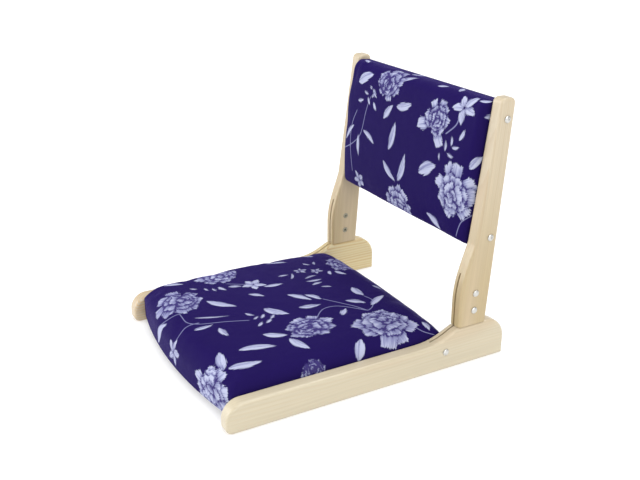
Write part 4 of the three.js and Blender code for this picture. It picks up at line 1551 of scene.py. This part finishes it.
    def print_on(self, piece):
        """Keeps the print on the piece's points."""
        for name, values in (
            ("print_edge", self.edge), ("print_line", self.line), ("print_line_near", self.line_near),
            ("print_stem", self.stem), ("print_stem_near", self.stem_near), ("print_tone", self.tone),
        ):
            attribute = piece.data.attributes.new(name, "FLOAT", "POINT")
            attribute.data.foreach_set("value", values.astype(np.float32))
        brush = piece.data.attributes.new("print_brush", "FLOAT_VECTOR", "POINT")
        brush.data.foreach_set("vector", self.brush.astype(np.float32).ravel())


thread_gap = 0.42 * mm


def cloth_weave_group():
    """Fine sateen weave over the flat cloth: its height, and a shade that varies from thread to thread."""
    inputs = [("Cloth Place", "Vector", None), ("Thread", "Float", thread_gap)]
    outputs = [("Shade", "Float"), ("Roughness", "Float"), ("Height", "Float")]
    group, given, wanted = new_group("cloth_weave", inputs, outputs)
    threads = place(group, "ShaderNodeVectorMath", {"operation": "SCALE"}, {
        0: given["Cloth Place"], "Scale": maths(group, "DIVIDE", 1.0, given["Thread"]),
    }).outputs[0]
    parts = place(group, "ShaderNodeSeparateXYZ", None, {0: threads}).outputs
    rows = maths(group, "FLOOR", parts[1])
    step = maths(group, "ADD", maths(group, "MULTIPLY", parts[0], 0.2), maths(group, "MULTIPLY", rows, 0.4))
    floats = maths(group, "SINE", maths(group, "MULTIPLY", step, 2 * math.pi))
    ridge = maths(group, "ABSOLUTE", maths(group, "SINE", maths(group, "MULTIPLY", parts[1], math.pi)))
    height = maths(group, "ADD", maths(group, "MULTIPLY", ridge, 0.7), maths(group, "MULTIPLY", floats, 0.3))
    slub = noise(group, given["Cloth Place"], (90, 1600, 1))
    cloud = noise(group, given["Cloth Place"], 14.0)
    shade = maths(group, "ADD", maths(group, "MULTIPLY", slub, 0.16), maths(group, "MULTIPLY", cloud, 0.14))
    feed(group, wanted, {
        "Shade": maths(group, "ADD", shade, 0.85),
        "Roughness": ramped(group, slub, 0.3, 0.7, 0.50, 0.62, False),
        "Height": maths(group, "ADD", height, maths(group, "MULTIPLY", slub, 0.8)),
    })
    return group


cloth_weave = cloth_weave_group()


def printed_sateen():
    """Indigo cotton sateen with the floral print in two lavender inks and a soft bluish bloom."""
    material, tree, shader = new_material("printed_sateen", {
        "Sheen Weight": 0.11, "Sheen Roughness": 0.35, "Sheen Tint": (0.28, 0.19, 1.0, 1),
        "Specular IOR Level": 0.02,
    })

    def kept(name, output="Fac"):
        """What the cloth's points keep under a name."""
        return place(tree, "ShaderNodeAttribute", {"attribute_name": name}).outputs[output]

    def beside(name, low, high, near_low, near_high):
        """Where a drawn line or stem shows: close beside its middle, and only near a point that drew it."""
        middle = ramped(tree, maths(tree, "ABSOLUTE", kept(name)), low, high, 1.0, 0.0)
        drawn = ramped(tree, kept(f"{name}_near"), near_low, near_high, 1.0, 0.0)
        return maths(tree, "MULTIPLY", middle, drawn)

    flat = kept("cloth", "Vector")
    weave = place(tree, "ShaderNodeGroup", {"node_tree": cloth_weave}, {"Cloth Place": flat})
    brush = kept("print_brush", "Vector")
    streak = noise(tree, brush, (4.2, 0.8, 1), 3.0, 0.6)
    bristle = noise(tree, brush, (8, 1.1, 1))
    ink = ramped(tree, maths(tree, "ADD", kept("print_edge"), swing(tree, bristle, 7.5, 0.56)), -0.7, 0.9)
    stem = beside("print_stem", 0.55, 1.15, 1.8, 2.6)
    line = beside("print_line", 0.15, 0.95, 1.4, 2.4)
    tone = maths(tree, "ADD", kept("print_tone"), swing(tree, streak, 1.7))
    tone = maths(tree, "ADD", tone, swing(tree, bristle, 0.7))
    petal = blended(tree, ramped(tree, tone, -0.06, 0.42), ink_dark, ink_middle)
    petal = blended(tree, ramped(tree, tone, 0.4, 1.0), petal, ink_light)
    petal = blended(tree, maths(tree, "MULTIPLY", line, 0.14), petal, ink_line)
    colour = blended(tree, maths(tree, "MULTIPLY", stem, 0.85), sateen_ground, ink_middle)
    colour = blended(tree, ink, colour, petal)
    dimple = bumped(tree, noise(tree, flat, 28.0), 0.35, 4 * mm)
    feed(tree, shader, {
        "Base Color": shaded(tree, colour, weave.outputs["Shade"]),
        "Roughness": weave.outputs["Roughness"],
        "Normal": bumped(tree, weave.outputs["Height"], 0.35, 0.12 * mm, dimple),
    })
    return material


sateen = printed_sateen()


def print_flowers(piece, arrange):
    """Prints an arrangement on the piece."""
    flowers = Print(cloth_places(piece)[1])
    arrange(flowers)
    flowers.print_on(piece)
    piece.data.materials.append(sateen)


def seat_flowers(cloth):
    """The seat's flowers. Places are across, then towards the front, and go on down the front roll."""
    cloth.run((78, 28), (56, 4), (58, -24), (90, -56))
    cloth.run((24, -14), (52, -34), (72, -48), (92, -58))
    cloth.run((46, -80), (66, -84), (84, -72), (92, -60))
    cloth.run((-62, 250), (-50, 232), (-44, 214))
    cloth.run((-42, 212), (-14, 214), (6, 199), (20, 160), (34, 126))
    cloth.run((10, 248), (2, 222), (2, 198))
    cloth.run((-108, 100), (-96, 84), (-84, 66))
    cloth.run((166, -98), (180, -112), (186, -128))
    cloth.leaf((-16, 198), (6, 146), 5, bend=0.03, vein=False)
    cloth.leaves(
        ((-161, 3), (-146, -36), 9), ((-92, 10), (-90, -10), 6), ((-70, -6), (-92, -18), 6),
        ((-62, -26), (-66, -52), 6), ((-48, -22), (-46, -52), 7), ((-32, -24), (-36, -46), 6),
        ((-20, -34), (-12, -50), 6), ((-64, 51), (-60, 16), 10), ((-51, 86), (-30, 66), 9),
        ((-96, 104), (-86, 82), 8), ((-166, 195), (-150, 164), 11), ((-62, 158), (-18, 122), 15),
        ((10, 89), (46, 62), 17), ((-18, 30), (18, 4), 13), ((-4, 4), (24, -13), 11),
        ((34, 38), (40, -2), 11), ((8, -78), (44, -80), 15), ((44, -44), (68, -70), 12),
        ((78, -72), (58, -112), 13), ((88, -12), (70, -30), 10), ((20, 214), (20, 180), 9),
        ((-74, 281), (-44, 236), 16), ((34, 177), (64, 174), 11), ((86, 127), (106, 94), 14),
        ((108, 178), (124, 123), 15), ((116, 98), (156, 84), 17), ((140, 218), (98, 206), 19),
        ((144, 212), (154, 160), 16), ((198, 16), (164, 0), 19), ((158, -119), (177, -123), 12),
        ((18, -114), (34, -127), 8), ((-150, -92), (-172, -70), 10), ((-178, 40), (-184, 70), 10),
    )
    cloth.sprig(((-126, -56), (-113, -64)), ((-124, -78), (-110, -72)))
    cloth.sprig(((-72, -80), (-55, -74)), ((-66, -88), (-42, -98)), ((-77, -94), (-64, -104)))
    cloth.sprig(((-112, 141), (-98, 138)), ((-104, 129), (-90, 128)), ((-104, 119), (-84, 112)))
    cloth.sprig(((-124, 163), (-114, 152)), ((10, 121), (24, 111)), ((36, 118), (28, 106)))
    cloth.sprig(((38, 106), (26, 95)), ((60, 121), (48, 109)), ((56, 106), (46, 92)), ((46, 94), (35, 82)))
    cloth.star(-82, 63, 46, turn=0.3, seed=3)
    cloth.star(-97, -36, 24, turn=0.9, seed=4)
    cloth.star(-83, -60, 24, turn=0.2, seed=5)
    cloth.star(8, 262, 46, turn=1.2, seed=6)
    cloth.peony(-84, 199, 80, 82, -0.25, lean=(-0.1, -0.2), seed=21)
    cloth.peony(-150, 103, 70, 74, -0.2, lean=(0.1, -0.2), seed=22)
    cloth.peony(98, 51, 64, 80, -0.25, lean=(0.05, 0.1), seed=23)
    cloth.peony(146, -58, 96, 94, -0.15, lean=(-0.22, -0.1), seed=24)
    cloth.peony(138, 258, 92, 76, lean=(-0.1, -0.1), seed=25)
    cloth.peony(197, 92, 40, 40, -0.4, lean=(-0.2, 0.0), seed=26)
    cloth.peony(-88, -120, 66, 60, -0.2, lean=(0.1, 0.1), seed=27)


def back_flowers(cloth):
    """The back's flowers. Places are across, then down from the lower bolts."""
    cloth.run((-100, -155), (-108, -130), (-118, -88), (-142, -65), (-174, -48))
    cloth.run((-138, -124), (-150, -98), (-152, -62), (-142, -14))
    cloth.run((142, -176), (137, -160), (118, -143), width=2)
    cloth.run((190, -30), (174, -18), (164, 8))
    cloth.leaves(
        ((-146, -174), (-108, -196), 21), ((-44, -196), (2, -216), 9), ((-52, -129), (-29, -158), 14),
        ((-18, -156), (21, -169), 17), ((-26, -80), (-14, -130), 15), ((-110, -96), (-71, -79), 10),
        ((-126, -84), (-122, -45), 9), ((-172, -66), (-144, -98), 10), ((168, -206), (198, -213), 8),
        ((188, -182), (208, -187), 9), ((60, -67), (103, -90), 21), ((178, -102), (195, -123), 13),
        ((-41, -58), (-2, -30), 12), ((6, -33), (21, -85), 14), ((88, -5), (123, 15), 13),
        ((58, -212), (78, -221), 8),
    )
    cloth.sprig(((-106, -174), (-97, -169)), ((-121, -162), (-106, -158)), ((-139, -142), (-120, -146)))
    cloth.sprig(((-108, -154), (-98, -141)), ((-95, -171), (-80, -157)), ((-96, -155), (-88, -165)))
    cloth.sprig(((-89, -149), (-76, -135)), ((121, -116), (120, -133)), ((134, -127), (133, -143)))
    cloth.sprig(((150, -139), (159, -158)), ((136, -125), (153, -129)), ((126, -114), (144, -111)))
    cloth.sprig(((108, -111), (110, -98)))
    cloth.star(-122, 0, 36, turn=0.5, seed=31)
    cloth.star(146, -189, 52, turn=0.35, seed=32)
    cloth.peony(-54, -193, 66, 60, -0.2, lean=(-0.05, 0.15), seed=41)
    cloth.petal((80, -152), 4, 2.9, 34, 26, (0.4, 0.85), 0.06)
    cloth.petal((84, -150), 6, 0.9, 34, 24, (0.35, 0.9), 0.06)
    cloth.peony(90, -163, 56, 58, -0.1, lean=(0.0, 0.1), seed=42)
    cloth.peony(154, -60, 86, 84, lean=(-0.1, 0.15), seed=43)
    cloth.peony(6, 8, 74, 70, -0.05, lean=(0.1, 0.1), seed=44)
    cloth.leaf((-30, -222), (-8, -240), 9)
    cloth.leaf((-150, -214), (-176, -226), 10)
    cloth.leaf((112, -214), (96, -236), 9)


def panel_flowers(cloth):
    """The rear panel is cut from the same cloth at another place."""
    for base, tip, width in (
        ((-150, -36), (-112, -22), 14), ((-92, -150), (-60, -172), 16), ((-30, -40), (-6, -86), 15),
        ((40, -30), (74, -52), 15), ((118, -176), (150, -156), 15), ((-160, -128), (-130, -150), 12),
        ((20, -178), (62, -186), 13), ((140, -92), (166, -120), 14), ((-66, -20), (-34, -8), 12),
        ((96, -92), (108, -128), 12), ((-126, -188), (-98, -196), 10), ((152, -28), (170, -6), 11),
    ):
        cloth.leaf(base, tip, width)
    cloth.run((-70, -62), (-40, -70), (-14, -58), (8, -30))
    cloth.run((30, -128), (58, -142), (86, -138))
    cloth.sprig(((-152, -84), (-138, -92)), ((-150, -70), (-136, -72)), ((-158, -60), (-142, -56)))
    cloth.sprig(((86, -18), (98, -30)), ((100, -14), (112, -24)), ((92, -4), (106, -8)))
    cloth.star(-134, -110, 30, turn=0.4, seed=51)
    cloth.star(92, -64, 40, turn=0.1, seed=52)
    cloth.peony(-96, -62, 84, 78, -0.1, lean=(0.1, -0.1), seed=53)
    cloth.peony(4, -130, 80, 84, -0.2, lean=(-0.1, 0.1), seed=54)
    cloth.peony(142, -62, 74, 76, lean=(0.1, 0.1), seed=55)
    cloth.peony(-20, 6, 70, 66, -0.15, lean=(0.1, 0.0), seed=56)


print_flowers(seat_pad, seat_flowers)
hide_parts("seat_cover", "seat_foam")
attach(seat_pad, "seat_frame")


# The back pad. Foam on a plywood board between the uprights, wrapped in the same cloth from the front over
# all four edges and turned in behind, where a cloth-covered panel closes it.

back_base = back_bolt_places[0]
back_up = bolt_run / np.linalg.norm(bolt_run)
back_out = np.array([-back_up[1], back_up[0]])
back_bottom = -16 * mm
back_top = 208.6 * mm
back_rim = 9.5 * mm
back_rise = 19.4 * mm
back_crown_across = 3 * mm
back_crown_along = 7 * mm
back_rolls = {"side": 8 * mm, "front": 8 * mm, "rear": 17 * mm}
back_face = -8.8 * mm
back_board_half = 7.5 * mm
turn_in = 25 * mm
foot_over = 5 * mm           # how far the pad hangs below its board
back_top_room = 0.6 * mm
board_end_room = 1.3 * mm


def on_back(x, up, out):
    """A place on the back from how far it lies across, up the posts and out towards the sitter."""
    y, z = back_base + up * back_up + out * back_out
    return (x, y, z)


def held_on_back(x, up, out):
    """The cloth is fixed behind the rim."""
    return float(out < back_rim - rim_hold)


back_pad_form = Pad(
    half=pad_half - side_room,
    near=back_bottom - foot_over, far=back_top - back_top_room,
    rim=back_rim, rise=back_rise - swell_start,
    crown_across=back_crown_across, crown_along=back_crown_along,
    rolls=back_rolls, hem=back_face,
)
back_board_room = block(
    "back_board_room", (-room_half, back_bottom + board_end_room, -back_board_half - clear),
    (room_half, back_top - board_end_room, back_board_half + clear), on_back,
)
turn_in_room = block(
    "turn_in_room", (-pad_half + turn_in, back_bottom + turn_in, back_face - overrun),
    (pad_half - turn_in, back_top - turn_in, 0), on_back,
)
back_cloth = swollen(back_pad_form.made("back_pad", on_back, held_on_back))
back_pad = closed_cloth(back_cloth, [turn_in_room, back_board_room])
print_flowers(back_pad, back_flowers)
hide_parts("back_cover", "back_foam")
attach(back_pad, "back")


# The rear panel. A thin board wrapped in the same cloth, which is pressed on over the turned-in edges of the
# back pad and closes it behind.

panel_inset = 8 * mm
panel_inner = -9.1 * mm
panel_roll = 2 * mm
panel_rise = 1.2 * mm
panel_crown = 0.3 * mm


def on_panel(x, up, out):
    """The panel faces rearwards, so it is turned about and its out is away from the sitter."""
    return on_back(-x, up, -out)


def nowhere_held(x, up, out):
    """The panel's cloth lies even all over."""
    return 0.0


rear_panel_form = Pad(
    half=pad_half - panel_inset, near=back_bottom + panel_inset, far=back_top - panel_inset,
    rim=panel_rise - panel_inner, rise=panel_rise, crown_across=panel_crown, crown_along=panel_crown,
    rolls={"side": panel_roll, "front": panel_roll, "rear": panel_roll}, hem=-panel_inner,
)
rear_panel = closed_cloth(rear_panel_form.made("rear_panel", on_panel, nowhere_held), [])
print_flowers(rear_panel, panel_flowers)
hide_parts("back_rear_panel")
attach(rear_panel, "back")
dress("back_board", plywood("back_plywood", 0.0))
